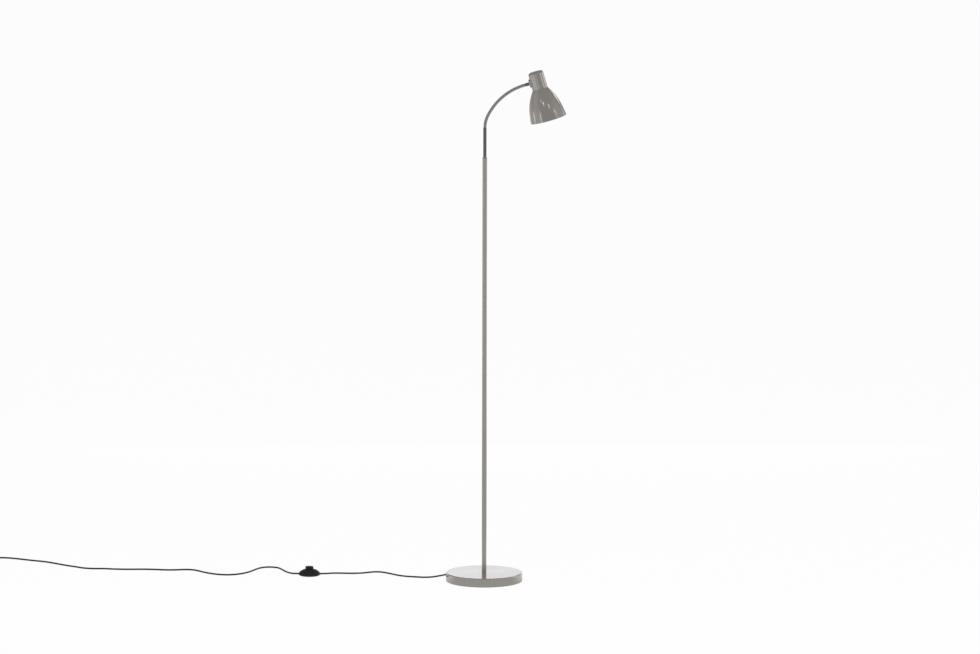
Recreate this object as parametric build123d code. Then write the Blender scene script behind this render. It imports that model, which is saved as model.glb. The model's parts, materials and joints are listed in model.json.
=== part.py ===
from build123d import *
import math
import os

# Gooseneck reading floor lamp. Millimetres and degrees. The origin is the centre of the base's
# underside on the floor, +Z is up, and the neck bends towards +X.

# ---------------------------------------------------------------- base
BASE_DIAMETER = 220.0
BASE_HEIGHT = 25.7
COVER_WALL = 1.2
COVER_EDGE_RADIUS = 2.2
COVER_LIFT = 1.0  # the cover's rim stands this far above the floor
PAD_THICKNESS = 2.2
PAD_MARGIN = 0.8  # gap between the pad and the cover's wall
PAD_EDGE_RADIUS = 0.6
WEIGHT_SIDE_GAP = 0.4
WEIGHT_TOP_CHAMFER = 2.0
NUT_POCKET_DIAMETER = 36.0
NUT_POCKET_ROOF = 6.0  # iron left above the pocket
WEIGHT_RECESS_INNER = 26.0
WEIGHT_RECESS_OUTER = 98.0
WEIGHT_RECESS_DEPTH = 10.0
LEAD_CHANNEL_WIDTH = 16.0
LEAD_CHANNEL_HEIGHT = 13.0

# ---------------------------------------------------------------- threaded joints of the pole
STUD_DIAMETER = 10.0
STUD_BORE = 7.0
STUD_FIT = 0.05  # radial clearance of a stud in what it screws into
STUD_REACH = 16.0  # how far a stud screws into an insert
STUD_TIP = 0.6
BASE_STUD_PROUD = 0.5  # the stud stands this far below its nut
WASHER_DIAMETER = 28.0
WASHER_THICKNESS = 2.0
NUT_ACROSS_FLATS = 17.0
NUT_HEIGHT = 4.5
NUT_BEVEL = 1.0  # height of the bevel on a nut's corners

# ---------------------------------------------------------------- pole
POLE_DIAMETER = 13.5
POLE_WALL = 0.9
POLE_SECTION = 400.0
POLE_SECTIONS = 3
TUBE_BEVEL = 0.35  # on a tube's ends, so that each joint shows as a fine line
INSERT_LENGTH = 20.0
BUSH_FLANGE = 4.0
BUSH_FLANGE_DIAMETER = 14.3
BUSH_BEVEL = 1.8
BUSH_SPIGOT = 25.0

# ---------------------------------------------------------------- neck
NECK_DIAMETER = 9.5
NECK_BORE = 5.0
FERRULE_EXPOSED = 85.5
FERRULE_SEATED = 22.0
FERRULE_BORE = 5.6
FERRULE_FIT = 0.05
TIGHT_BEND_RADIUS = 72.0
TIGHT_BEND_TURN = 25.0
WIDE_BEND_RADIUS = 170.0
HEAD_TILT = 15.8  # the shade's axis leans this far from plumb, mouth outwards
NECK_LINKS = 12
RIBS_PER_LINK = 4
RIB_DEPTH = 0.6
RIB_CREST_SHARE = 0.5  # crest's share of a rib's pitch
LINK_EDGE_STEP = 0.55
BALL_DIAMETER = 7.2
BALL_FIT = 0.08
SOCKET_SKIRT = 0.35  # a socket's rim stays this far above its pivot
SHOULDER_DROP = 1.25  # a ball's shoulder lies this far below its pivot
TOP_FERRULE_LENGTH = 12.2

# ---------------------------------------------------------------- head
SHADE_MOUTH_DIAMETER = 106.0
SHADE_NECK_DIAMETER = 43.0
SHADE_LENGTH = 91.0
SHADE_WALL = 0.9
SHADE_RIM_DIAMETER = 2.0
SHADE_COLLAR_HEIGHT = 4.0
SHADE_MOUTH_PULL = (5.25, 35.0)  # inward and upward pull of the bell's curve at its mouth
SHADE_NECK_PULL = (24.1, 35.0)  # outward and downward pull of the curve at its neck
CAP_DIAMETER = 45.0
CAP_TOP_DIAMETER = 43.6
CAP_LENGTH = 51.0
CAP_CROWN = 2.0
CAP_EDGE_RADIUS = 7.0
CAP_WALL = 0.9
CAP_SEAM = 0.3
CAP_CROWN_FULLNESS = 0.74  # how much of the crown's rise is reached half way in
CAP_ENTRY_HEIGHT = 21.0  # the neck's axis lies this far above the cap's lower edge
ENTRY_FIT = 0.1
ENTRY_THREAD_DIAMETER = 8.0
ENTRY_THREAD_BORE = 5.0
ROSETTE_DIAMETER = 24.0
ROSETTE_THICKNESS = 3.2
ROSETTE_EDGE_RADIUS = 1.2
SADDLE_DIAMETER = 15.0
SADDLE_THICKNESS = 1.6
ENTRY_NUT_ACROSS_FLATS = 13.0
ENTRY_NUT_HEIGHT = 3.0
ENTRY_THREAD_PROUD = 0.5

# ---------------------------------------------------------------- lamp holder, its bracket and the bulb
HOLDER_SKIRT_DIAMETER = 27.8
HOLDER_SKIRT_LENGTH = 22.0
HOLDER_WALL = 2.2
HOLDER_SHOULDER_DIAMETER = 33.0
HOLDER_SHOULDER_HEIGHT = 2.5
HOLDER_BODY_DIAMETER = 26.0
HOLDER_BODY_HEIGHT = 9.0
HOLDER_TOP_DIAMETER = 21.0
HOLDER_TOP_HEIGHT = 14.0
HOLDER_TOP_SLOPE = 2.5
HOLDER_HOLE_FIT = 0.3
SHADE_RING_DIAMETER = 36.0
SHADE_RING_HEIGHT = 6.0
SHADE_RING_NOTCHES = 8
SHADE_RING_NOTCH = 3.0
LAMP_CAP_DIAMETER = 13.9  # the bulb's screw cap
LAMP_CAP_LENGTH = 21.0
LAMP_CAP_FIT = 0.25
SCREW_SHELL_WALL = 0.5
SCREW_SHELL_LIFT = 5.0  # the shell starts this far above the skirt's lower end
SHELL_WEB_LIFT = 8.0  # its web starts this far above the shell's lower end
SHELL_WEB_THICKNESS = 2.0
CONTACT_SIZE = (9.0, 4.0, 0.8)
CONTACT_OFFSET = 1.5
LAMP_TIP_DIAMETER = 8.0
LAMP_TIP_LENGTH = 2.5
LAMP_TIP_SLOPE = 2.0
BULB_CAP_INSET = 3.0  # the screw cap starts this far inside the holder's skirt
GLOBE_DIAMETER = 45.0
GLOBE_NECK_DIAMETER = 24.0
GLOBE_NECK_LENGTH = 8.0
GLOBE_NECK_FLARE = 0.8  # the neck leaves the globe where the globe is this share of its width
GLOBE_NECK_LIP = 0.6
GLOBE_CENTRE_DROP = 34.5  # the globe's centre lies this far below its screw cap
GLASS_WALL = 0.9
BRACKET_THICKNESS = 1.5
BRACKET_WIDTH = 14.0
BRACKET_ARM = 30.0
BRACKET_DROP = 9.0  # the upright runs this far below the neck's axis
BRACKET_SCREW_DIAMETER = 4.0
BRACKET_SCREW_LENGTH = 8.0
BRACKET_SCREW_HEAD = 7.0
BRACKET_SCREW_HEAD_HEIGHT = 2.4
BRACKET_SCREW_SLOT = (1.0, 0.8)  # width and depth

# ---------------------------------------------------------------- supply lead
CORD_DIAMETER = 4.8
CORD_EXIT_BEARING = 110.0  # seen from above, from +X towards +Y
CORD_EXIT_HEIGHT = 8.6
CORD_BASE_BEND = 5.0
BUSHING_TAIL_LENGTH = 22.0
BUSHING_TAIL_DIAMETER = 6.8
BUSHING_ROOT_DIAMETER = 9.5
BUSHING_NECK_DIAMETER = 9.0
BUSHING_FLANGE_DIAMETER = 12.0
BUSHING_FLANGE = 1.6
BUSHING_GROOVES = 5
BUSHING_GROOVE_WIDTH = 1.2
BUSHING_GROOVE_DEPTH = 0.5
BUSHING_COLLAR = 2.0  # plain length outside the cover's wall
BUSHING_FIRST_GROOVE = 4.0
BUSHING_RUN = 22.0  # straight lead just outside the strain relief
LEAD_STOP_BELOW_NECK = 14.0  # the jacket ends this far below the first pivot

# ---------------------------------------------------------------- foot switch
SWITCH_X = -505.5
SWITCH_Y = 80.0
SWITCH_DIAMETER = 65.0
SWITCH_FOOT_DIAMETER = 48.0
SWITCH_SEAM_HEIGHT = 5.0
SWITCH_DOME_HEIGHT = 18.2
SWITCH_WALL = 2.0
SWITCH_BELLY_LIFT = 1.3  # height of the underside's curve a third of the way in
SWITCH_DOME_SWELL = (1.5, 1.6)  # outward and upward swell of the dome at its middle
SWITCH_CORD_FIT = 0.1
SWITCH_TERMINAL_SPAN = 42.0  # between the terminals' outer faces
BUTTON_DIAMETER = 23.0
BUTTON_TOP_HEIGHT = 26.4
BUTTON_EDGE_RADIUS = 1.6
BUTTON_FIT = 0.35
BUTTON_FLANGE_DIAMETER = 28.0
BUTTON_FLANGE = 1.8
BUTTON_TRAVEL = 3.5
BUTTON_WALL = 2.0
BUTTON_FLANGE_FIT = 0.1  # below the cover's roof
BUTTON_GRIP_RINGS = 3
BUTTON_GRIP_WIDTH = 0.8
BUTTON_GRIP_DEPTH = 0.5
COLLAR_WIDTH = 2.6
SPRING_DIAMETER = 12.0
SPRING_WIRE = 0.9
SPRING_TURNS = 4
SPRING_SEAT_HEIGHT = 6.0
SPRING_POST_DIAMETER = 8.0
SPRING_POST_TIP = 1.6
SPRING_SEAT_MARGIN = 2.0
SWITCH_SCREW_SPACING = 40.0
SWITCH_SCREW_DIAMETER = 3.0
SCREW_FIT = 0.1
SWITCH_SCREW_HEAD = 5.6
SWITCH_SCREW_HEAD_HEIGHT = 1.4
SWITCH_SCREW_SINK = 0.4  # the head lies this far above the foot's face
SWITCH_SCREW_BITE = 6.0  # the shank runs this far above the seam
SWITCH_SCREW_SLOT = (0.8, 0.5)  # width and depth
SWITCH_BOSS_DIAMETER = 6.4
TERMINAL_SIZE = (6.0, 9.0, 6.0)
CLAMP_SIZE = (5.0, 13.0, 4.0)
CLAMP_INSET = 2.5

# ---------------------------------------------------------------- free lead: routes, coil, tie and plug
CORD_FLOOR = CORD_DIAMETER / 2  # height of the lead's centre on the floor
# Points chosen along the lead as it lies, X, Y and Z; the first and last come from its neighbours.
ROUTE_TO_SWITCH = [
    (-71, 157, 5.5),
    (-93, 153, 3.0),
    (-107, 137, CORD_FLOOR),
    (-111, 113, CORD_FLOOR),
    (-117, 87, CORD_FLOOR),
    (-130, 63, CORD_FLOOR),
    (-148, 45, CORD_FLOOR),
    (-172, 38, CORD_FLOOR),
    (-197, 45, CORD_FLOOR),
    (-223, 53, CORD_FLOOR),
    (-246, 67, CORD_FLOOR),
    (-264, 88, CORD_FLOOR),
    (-281, 107, CORD_FLOOR),
    (-297, 122, CORD_FLOOR),
    (-316, 126, CORD_FLOOR),
    (-334, 117, CORD_FLOOR),
    (-354, 104, CORD_FLOOR),
    (-386, 99, CORD_FLOOR),
    (-417, 103, 2.5),
    (-440, 98, 3.4),
]
SWITCH_ENTRY_RUN = 26.0  # straight lead inside and just outside the switch
ROUTE_TO_COIL = [
    (-571, 98, 4.0),
    (-580, 128, 2.8),
    (-587, 159, CORD_FLOOR),
    (-597, 185, CORD_FLOOR),
    (-612, 197, CORD_FLOOR),
    (-630, 199, CORD_FLOOR),
    (-647, 190, CORD_FLOOR),
    (-659, 171, CORD_FLOOR),
    (-671, 142, CORD_FLOOR),
    (-685, 112, CORD_FLOOR),
    (-706, 86, CORD_FLOOR),
    (-738, 71, CORD_FLOOR),
    (-770, 78, CORD_FLOOR),
    (-798, 98, CORD_FLOOR),
    (-819, 122, CORD_FLOOR),
    (-839, 149, CORD_FLOOR),
    (-865, 158, CORD_FLOOR),
    (-893, 150, CORD_FLOOR),
    (-922, 148, CORD_FLOOR),
    (-954, 156, CORD_FLOOR),
    (-990, 160, CORD_FLOOR),
    (-1030, 157, CORD_FLOOR),
    (-1070, 159, CORD_FLOOR),
    (-1103, 169, CORD_FLOOR),
    (-1136, 167, CORD_FLOOR),
    (-1164, 175, CORD_FLOOR),
    (-1189, 197, CORD_FLOOR),
    (-1220, 220, CORD_FLOOR),
    (-1250, 250, CORD_FLOOR),
    (-1283, 279, CORD_FLOOR),
    (-1322, 297, CORD_FLOOR),
    (-1358, 320, CORD_FLOOR),
    (-1395, 336, 3.0),
]
COIL_ENTRY_RUN = 30.0  # straight lead before the coil
COIL_CENTRE = (-1466.0, 304.0)
COIL_OUTER_RADIUS = 30.0  # to the lead's centre
COIL_GAP = 0.7
COIL_LOWER_TURNS = 1.5
COIL_UPPER_TURNS = 1.25
COIL_CLIMB_INSET = 0.6  # the lead draws in this much where it climbs to the upper layer
COIL_OVERHANG = 5.0  # the last quarter turn ends this far outside the lower turns
TIE_THICKNESS = 0.9
TIE_WIDTH = 7.0
TIE_GAP = 0.5
PLUG_AXIS_HEIGHT = 7.0
PLUG_LENGTH = 36.0
PLUG_FACE_WIDTH = 26.0
PLUG_WAIST_WIDTH = 14.0
PLUG_NOSE_LENGTH = 20.0
PLUG_TAIL_LENGTH = 14.0
PLUG_TAIL_DIAMETER = 8.4
PLUG_TAIL_END_DIAMETER = 6.2
PLUG_CORNER_RADIUS = 2.0
PLUG_EDGE_RADIUS = 1.4
PIN_DIAMETER = 4.0
PIN_LENGTH = 19.0
PIN_SPACING = 18.6
PIN_EMBED = 6.0
PIN_TIP_RADIUS = 1.2
SLEEVE_LENGTH = 10.0
SLEEVE_WALL = 0.35

# ---------------------------------------------------------------- sizes worked out from the ones above
BASE_RADIUS = BASE_DIAMETER / 2
COVER_INNER_RADIUS = BASE_RADIUS - COVER_WALL
COVER_ROOF = BASE_HEIGHT - COVER_WALL
WEIGHT_RADIUS = COVER_INNER_RADIUS - WEIGHT_SIDE_GAP
POCKET_ROOF = COVER_ROOF - NUT_POCKET_ROOF
POLE_RADIUS = POLE_DIAMETER / 2
POLE_BORE_RADIUS = POLE_RADIUS - POLE_WALL
POLE_TOP = BASE_HEIGHT + POLE_SECTIONS * POLE_SECTION
NECK_FOOT = POLE_TOP + BUSH_FLANGE
NECK_START = NECK_FOOT + FERRULE_EXPOSED
WIDE_BEND_TURN = 90.0 - HEAD_TILT - TIGHT_BEND_TURN
BALL_RADIUS = BALL_DIAMETER / 2
SOCKET_RADIUS = BALL_RADIUS + BALL_FIT
NECK_RADIUS = NECK_DIAMETER / 2
CAP_RADIUS = CAP_DIAMETER / 2
CAP_SEAT = SHADE_LENGTH + CAP_SEAM
NECK_ENTRY_HEIGHT = CAP_SEAT + CAP_ENTRY_HEIGHT
COLLAR_TOP = SHADE_LENGTH + SHADE_COLLAR_HEIGHT
HOLDER_LOW = COLLAR_TOP - HOLDER_SKIRT_LENGTH
HOLDER_SHOULDER_TOP = COLLAR_TOP + HOLDER_SHOULDER_HEIGHT
HOLDER_BODY_TOP = HOLDER_SHOULDER_TOP + HOLDER_BODY_HEIGHT
HOLDER_TOP = HOLDER_BODY_TOP + HOLDER_TOP_HEIGHT
HOLDER_BORE_ROOF = HOLDER_BODY_TOP - HOLDER_BODY_HEIGHT / 2
BULB_TOP = HOLDER_LOW + BULB_CAP_INSET
GLOBE_CENTRE_HEIGHT = BULB_TOP - GLOBE_CENTRE_DROP
BUTTON_WEB = SWITCH_DOME_HEIGHT - SWITCH_WALL  # underside that the button's spring presses on
COIL_TURN_STEP = CORD_DIAMETER + COIL_GAP
PLUG_FACE = PLUG_TAIL_LENGTH + PLUG_LENGTH


def disc(radius, low, high):
    """A solid disc about Z between two heights."""
    return Cylinder(radius, high - low, align=(Align.CENTER, Align.CENTER, Align.MIN)).moved(
        Location((0, 0, low))
    )


def ring(outer, inner, low, high):
    """A plain ring about Z between two heights."""
    return disc(outer, low, high) - disc(inner, low - 1, high + 1)


def hexagon(across_flats, low, high):
    """A hexagonal prism about Z."""
    face = RegularPolygon(across_flats / 2, 6, major_radius=False)
    return extrude(face, high - low).moved(Location((0, 0, low)))


def turned(points):
    """A solid turned about Z from a closed outline of (radius, height) points."""
    outline = make_face(Polyline(*[(radius, 0, height) for radius, height in points], close=True))
    return revolve(outline, Axis.Z)


def bar_along_x(radius, low, high):
    """A round bar on the X axis."""
    return Location((low, 0, 0), (0, 90, 0)) * disc(radius, 0, high - low)


# ---------------------------------------------------------------- base
def exit_frame():
    """The frame of the lead's way out of the base: its local +X runs outwards."""
    return Location((0, 0, CORD_EXIT_HEIGHT), (0, 0, CORD_EXIT_BEARING))


def base_cover():
    """The pressed and plated steel cover, open below."""
    outside = disc(BASE_RADIUS, COVER_LIFT, BASE_HEIGHT)
    outside = fillet(outside.edges().group_by(Axis.Z)[-1], COVER_EDGE_RADIUS)
    inside = disc(COVER_INNER_RADIUS, COVER_LIFT - 1, COVER_ROOF)
    inside = fillet(inside.edges().group_by(Axis.Z)[-1], COVER_EDGE_RADIUS - COVER_WALL)
    hole = disc(STUD_DIAMETER / 2 + STUD_FIT, COVER_ROOF - 1, BASE_HEIGHT + 1)
    exit_hole = exit_frame() * bar_along_x(BUSHING_NECK_DIAMETER / 2, BASE_RADIUS - 8, BASE_RADIUS + 8)
    return outside - inside - hole - exit_hole


def base_weight():
    """The cast weight, with a pocket for the nut, a channel for the lead and a ring cast hollow."""
    body = disc(WEIGHT_RADIUS, PAD_THICKNESS, COVER_ROOF)
    body = chamfer(body.edges().group_by(Axis.Z)[-1], WEIGHT_TOP_CHAMFER)
    recess_roof = PAD_THICKNESS + WEIGHT_RECESS_DEPTH
    body -= ring(WEIGHT_RECESS_OUTER, WEIGHT_RECESS_INNER, PAD_THICKNESS - 1, recess_roof)
    pocket = disc(NUT_POCKET_DIAMETER / 2, PAD_THICKNESS - 1, POCKET_ROOF)
    hole = disc(STUD_DIAMETER / 2 + 2 * STUD_FIT, POCKET_ROOF - 1, COVER_ROOF + 1)
    channel = Box(
        BASE_RADIUS, LEAD_CHANNEL_WIDTH, LEAD_CHANNEL_HEIGHT, align=(Align.MIN, Align.CENTER, Align.MIN)
    )
    channel = channel.moved(Location((0, 0, PAD_THICKNESS - CORD_EXIT_HEIGHT)))
    return body - pocket - hole - exit_frame() * channel


def floor_pad():
    """The soft pad under the weight, on which the lamp stands."""
    pad = disc(COVER_INNER_RADIUS - PAD_MARGIN, 0, PAD_THICKNESS)
    return fillet(pad.edges().group_by(Axis.Z)[0], PAD_EDGE_RADIUS)


def stud(low, high):
    """A hollow threaded stud, bevelled at both ends."""
    outer, inner = STUD_DIAMETER / 2, STUD_BORE / 2
    return turned(
        [
            (inner, low),
            (outer - STUD_TIP, low),
            (outer, low + STUD_TIP),
            (outer, high - STUD_TIP),
            (outer - STUD_TIP, high),
            (inner, high),
        ]
    )


def base_stud():
    """The stud that holds the pole's foot to the base."""
    low = POCKET_ROOF - WASHER_THICKNESS - NUT_HEIGHT - BASE_STUD_PROUD
    return stud(low, BASE_HEIGHT + STUD_REACH)


def base_washer():
    """The washer above the base's nut."""
    inner = STUD_DIAMETER / 2 + STUD_FIT
    return ring(WASHER_DIAMETER / 2, inner, POCKET_ROOF - WASHER_THICKNESS, POCKET_ROOF)


def base_nut():
    """The nut that draws the pole, cover and weight together."""
    high = POCKET_ROOF - WASHER_THICKNESS
    low = high - NUT_HEIGHT
    blank = hexagon(NUT_ACROSS_FLATS, low, high)
    corner = NUT_ACROSS_FLATS / 2 / math.cos(math.radians(30))
    bevel = turned(
        [(0, low), (NUT_ACROSS_FLATS / 2, low), (corner, low + NUT_BEVEL), (corner, high), (0, high)]
    )
    return (blank & bevel) - disc(STUD_DIAMETER / 2 + STUD_FIT, low - 1, high + 1)


def cord_bushing():
    """The moulded strain relief where the lead leaves the base, its tail grooved to flex."""
    root, tail = BUSHING_ROOT_DIAMETER / 2, BUSHING_TAIL_DIAMETER / 2
    neck, flange = BUSHING_NECK_DIAMETER / 2, BUSHING_FLANGE_DIAMETER / 2
    inner_face = -COVER_WALL - BUSHING_FLANGE
    body = turned(
        [
            (CORD_DIAMETER / 2, inner_face),
            (flange, inner_face),
            (flange, -COVER_WALL),
            (neck, -COVER_WALL),
            (neck, 0),
            (root, 0),
            (root, BUSHING_COLLAR),
            (tail, BUSHING_TAIL_LENGTH),
            (CORD_DIAMETER / 2, BUSHING_TAIL_LENGTH),
        ]
    )
    wall = disc(BASE_RADIUS, -BASE_RADIUS, BASE_RADIUS)
    pitch = (BUSHING_TAIL_LENGTH - BUSHING_FIRST_GROOVE) / BUSHING_GROOVES
    for index in range(BUSHING_GROOVES):
        low = BUSHING_FIRST_GROOVE + index * pitch
        radius = root + (tail - root) * low / BUSHING_TAIL_LENGTH
        body -= ring(flange + 1, radius - BUSHING_GROOVE_DEPTH, low, low + BUSHING_GROOVE_WIDTH)
    seated = exit_frame() * Location((BASE_RADIUS, 0, 0), (0, 90, 0)) * body
    shell = wall - disc(COVER_INNER_RADIUS, -BASE_RADIUS, BASE_RADIUS)
    hole = exit_frame() * bar_along_x(neck, BASE_RADIUS - 8, BASE_RADIUS + 8)
    return seated - (shell - hole)


# ---------------------------------------------------------------- pole
def pole_tube(index):
    """One of the pole's equal tubes, counted from the base."""
    low = BASE_HEIGHT + index * POLE_SECTION
    high = low + POLE_SECTION
    return turned(
        [
            (POLE_BORE_RADIUS, low),
            (POLE_RADIUS - TUBE_BEVEL, low),
            (POLE_RADIUS, low + TUBE_BEVEL),
            (POLE_RADIUS, high - TUBE_BEVEL),
            (POLE_RADIUS - TUBE_BEVEL, high),
            (POLE_BORE_RADIUS, high),
        ]
    )


def pole_inserts():
    """The threaded inserts pressed into the ends of the tubes."""
    lows = []
    for index in range(POLE_SECTIONS):
        foot = BASE_HEIGHT + index * POLE_SECTION
        lows.append(foot)
        if index < POLE_SECTIONS - 1:
            lows.append(foot + POLE_SECTION - INSERT_LENGTH)
    bore = STUD_DIAMETER / 2 + STUD_FIT
    return Compound(children=[ring(POLE_BORE_RADIUS, bore, low, low + INSERT_LENGTH) for low in lows])


def joint_studs():
    """The studs that join one tube to the next."""
    joints = [BASE_HEIGHT + index * POLE_SECTION for index in range(1, POLE_SECTIONS)]
    return Compound(children=[stud(height - STUD_REACH, height + STUD_REACH) for height in joints])


def pole_bush():
    """The bevelled bush that closes the pole's top and grips the neck's ferrule."""
    flange = BUSH_FLANGE_DIAMETER / 2
    bore = NECK_RADIUS + FERRULE_FIT
    return turned(
        [
            (bore, POLE_TOP - BUSH_SPIGOT),
            (POLE_BORE_RADIUS, POLE_TOP - BUSH_SPIGOT),
            (POLE_BORE_RADIUS, POLE_TOP),
            (flange, POLE_TOP),
            (flange, NECK_FOOT - BUSH_BEVEL),
            (flange - BUSH_BEVEL, NECK_FOOT),
            (bore, NECK_FOOT),
        ]
    )


# ---------------------------------------------------------------- neck
def neck_pivots():
    """The neck's pivots as (x, z), evenly spaced along its two arcs from the ferrule's top."""
    bends = [
        (TIGHT_BEND_RADIUS, math.radians(TIGHT_BEND_TURN)),
        (WIDE_BEND_RADIUS, math.radians(WIDE_BEND_TURN)),
    ]
    step = sum(radius * turn for radius, turn in bends) / NECK_LINKS
    pivots = []
    for index in range(NECK_LINKS + 1):
        run, x, z, heading = index * step, 0.0, NECK_START, math.pi / 2
        for radius, turn in bends:
            part = min(run / radius, turn)
            x += radius * (math.sin(heading) - math.sin(heading - part))
            z += radius * (math.cos(heading - part) - math.cos(heading))
            heading -= part
            run -= part * radius
        pivots.append((x, z))
    return pivots


def ball_end(height):
    """Outline of a ball above its shoulder, from the shoulder's inner edge up to the bore."""
    half_bore = NECK_BORE / 2
    foot = math.sqrt(BALL_RADIUS**2 - SHOULDER_DROP**2)
    crown = math.sqrt(BALL_RADIUS**2 - half_bore**2)
    return ThreePointArc(
        (foot, 0, height - SHOULDER_DROP), (BALL_RADIUS, 0, height), (half_bore, 0, height + crown)
    )


def socket_end():
    """Outline of a socket about the origin, from the bore down to the skirt's inner edge."""
    half_bore = NECK_BORE / 2
    crown = math.sqrt(SOCKET_RADIUS**2 - half_bore**2)
    mouth = math.sqrt(SOCKET_RADIUS**2 - SOCKET_SKIRT**2)
    middle = math.radians(45)
    return ThreePointArc(
        (half_bore, 0, crown),
        (SOCKET_RADIUS * math.cos(middle), 0, SOCKET_RADIUS * math.sin(middle)),
        (mouth, 0, SOCKET_SKIRT),
    )


def neck_link(length):
    """One ribbed link of the neck: a socket about the origin, and a ball about the next pivot."""
    low, high = SOCKET_SKIRT, length - SHOULDER_DROP
    pitch = (high - low) / RIBS_PER_LINK
    valley = NECK_RADIUS - RIB_DEPTH
    slope = pitch * (1 - RIB_CREST_SHARE) / 2
    outside = []
    for index in range(RIBS_PER_LINK):
        foot = low + index * pitch
        outside += [(valley, 0, foot), (NECK_RADIUS, 0, foot + slope)]
        outside += [(NECK_RADIUS, 0, foot + pitch - slope)]
    outside.append((valley, 0, high))
    socket, ball = socket_end(), ball_end(length)
    rim = Line(socket @ 1, outside[0])
    shoulder = Line(outside[-1], ball @ 0)
    bore = Line(ball @ 1, socket @ 0)
    outline = make_face([socket, rim, Polyline(*outside), shoulder, ball, bore])
    return revolve(outline, Axis.Z)


def neck_links():
    """Every link of the neck, in its place along the bend."""
    pivots = neck_pivots()
    links = []
    for (x0, z0), (x1, z1) in zip(pivots, pivots[1:]):
        run = Vector(x1 - x0, 0, z1 - z0)
        place = Plane(origin=(x0, 0, z0), x_dir=(run.Z, 0, -run.X), z_dir=run)
        links.append(place.location * neck_link(run.length))
    return links


def neck_ferrule():
    """The plain tube between the pole's bush and the first link, with the first ball on top."""
    foot = NECK_FOOT - FERRULE_SEATED
    ball = ball_end(NECK_START)
    shoulder = NECK_START - SHOULDER_DROP
    inner, bore = FERRULE_BORE / 2, NECK_BORE / 2
    bore_step = NECK_START - LEAD_STOP_BELOW_NECK
    sides = Polyline(
        (inner, 0, bore_step),
        (inner, 0, foot),
        (NECK_RADIUS, 0, foot),
        (NECK_RADIUS, 0, shoulder - LINK_EDGE_STEP),
        (NECK_RADIUS - RIB_DEPTH, 0, shoulder),
        ball @ 0,
    )
    throat = Polyline(ball @ 1, (bore, 0, bore_step), sides @ 0)
    return revolve(make_face([sides, ball, throat]), Axis.Z)


# ---------------------------------------------------------------- head: local +Z runs up the shade's axis
def head_frame():
    """The head's frame: origin at the centre of the mouth, +X away from the neck."""
    tilt = math.radians(HEAD_TILT)
    across = Vector(math.cos(tilt), 0, math.sin(tilt))
    along = Vector(-math.sin(tilt), 0, math.cos(tilt))
    x, z = neck_pivots()[-1]
    reach = TOP_FERRULE_LENGTH + ROSETTE_THICKNESS + CAP_RADIUS
    origin = Vector(x, 0, z) + across * reach - along * NECK_ENTRY_HEIGHT
    return Plane(origin=origin, x_dir=across, z_dir=along).location


def entry_frame():
    """The frame of the neck's way into the cap: local +Z runs from the cap's wall outwards."""
    return head_frame() * Location((-CAP_RADIUS, 0, NECK_ENTRY_HEIGHT), (0, -90, 0))


def bell(inset):
    """The bell of the shade, filled, with its outline moved inwards by inset."""
    mouth = SHADE_MOUTH_DIAMETER / 2 - inset
    neck = SHADE_NECK_DIAMETER / 2 - inset
    curve = Bezier(
        (mouth, 0, 0),
        (mouth - SHADE_MOUTH_PULL[0], 0, SHADE_MOUTH_PULL[1]),
        (neck + SHADE_NECK_PULL[0], 0, SHADE_LENGTH - inset - SHADE_NECK_PULL[1]),
        (neck, 0, SHADE_LENGTH - inset),
    )
    roof = COLLAR_TOP - inset
    rest = Polyline(curve @ 1, (neck, 0, roof), (0, 0, roof), (0, 0, 0), curve @ 0)
    return revolve(make_face([curve, rest]), Axis.Z)


def shade():
    """The spun shade: a bell, its collar under the cap, and a rolled rim."""
    rim_radius = SHADE_RIM_DIAMETER / 2
    rim = Torus(SHADE_MOUTH_DIAMETER / 2 - rim_radius, rim_radius).moved(Location((0, 0, rim_radius)))
    hole = disc(HOLDER_SKIRT_DIAMETER / 2 + HOLDER_HOLE_FIT, SHADE_LENGTH, COLLAR_TOP + 1)
    mouth = disc(SHADE_MOUTH_DIAMETER / 2 - rim_radius, -1, rim_radius)
    shell = bell(0) - bell(SHADE_WALL) - hole - mouth
    return head_frame() * (shell + rim)


def cap_body(inset):
    """The cap, filled, with its outline moved inwards by inset."""
    low, high = CAP_SEAT, CAP_SEAT + CAP_LENGTH - inset
    side = high - CAP_CROWN
    body = revolve(
        make_face(
            [
                Polyline(
                    (0, 0, high),
                    (0, 0, low),
                    (CAP_RADIUS - inset, 0, low),
                    (CAP_TOP_DIAMETER / 2 - inset, 0, side),
                ),
                ThreePointArc(
                    (CAP_TOP_DIAMETER / 2 - inset, 0, side),
                    (CAP_TOP_DIAMETER / 4, 0, side + CAP_CROWN * CAP_CROWN_FULLNESS),
                    (0, 0, high),
                ),
            ]
        ),
        Axis.Z,
    )
    rounds = body.edges().filter_by(lambda edge: edge.is_closed)
    return fillet(rounds.sort_by(Axis.Z)[-1], CAP_EDGE_RADIUS - inset)


def lamp_cap():
    """The deep cap over the shade's collar, with the neck's hole in its side."""
    hole = Location((-CAP_RADIUS - 5, 0, NECK_ENTRY_HEIGHT)) * bar_along_x(
        ENTRY_THREAD_DIAMETER / 2 + ENTRY_FIT, 0, CAP_RADIUS
    )
    opening = disc(CAP_RADIUS - CAP_WALL, CAP_SEAT - 1, CAP_SEAT + 1)
    return head_frame() * (cap_body(0) - cap_body(CAP_WALL) - opening - hole)


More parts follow.
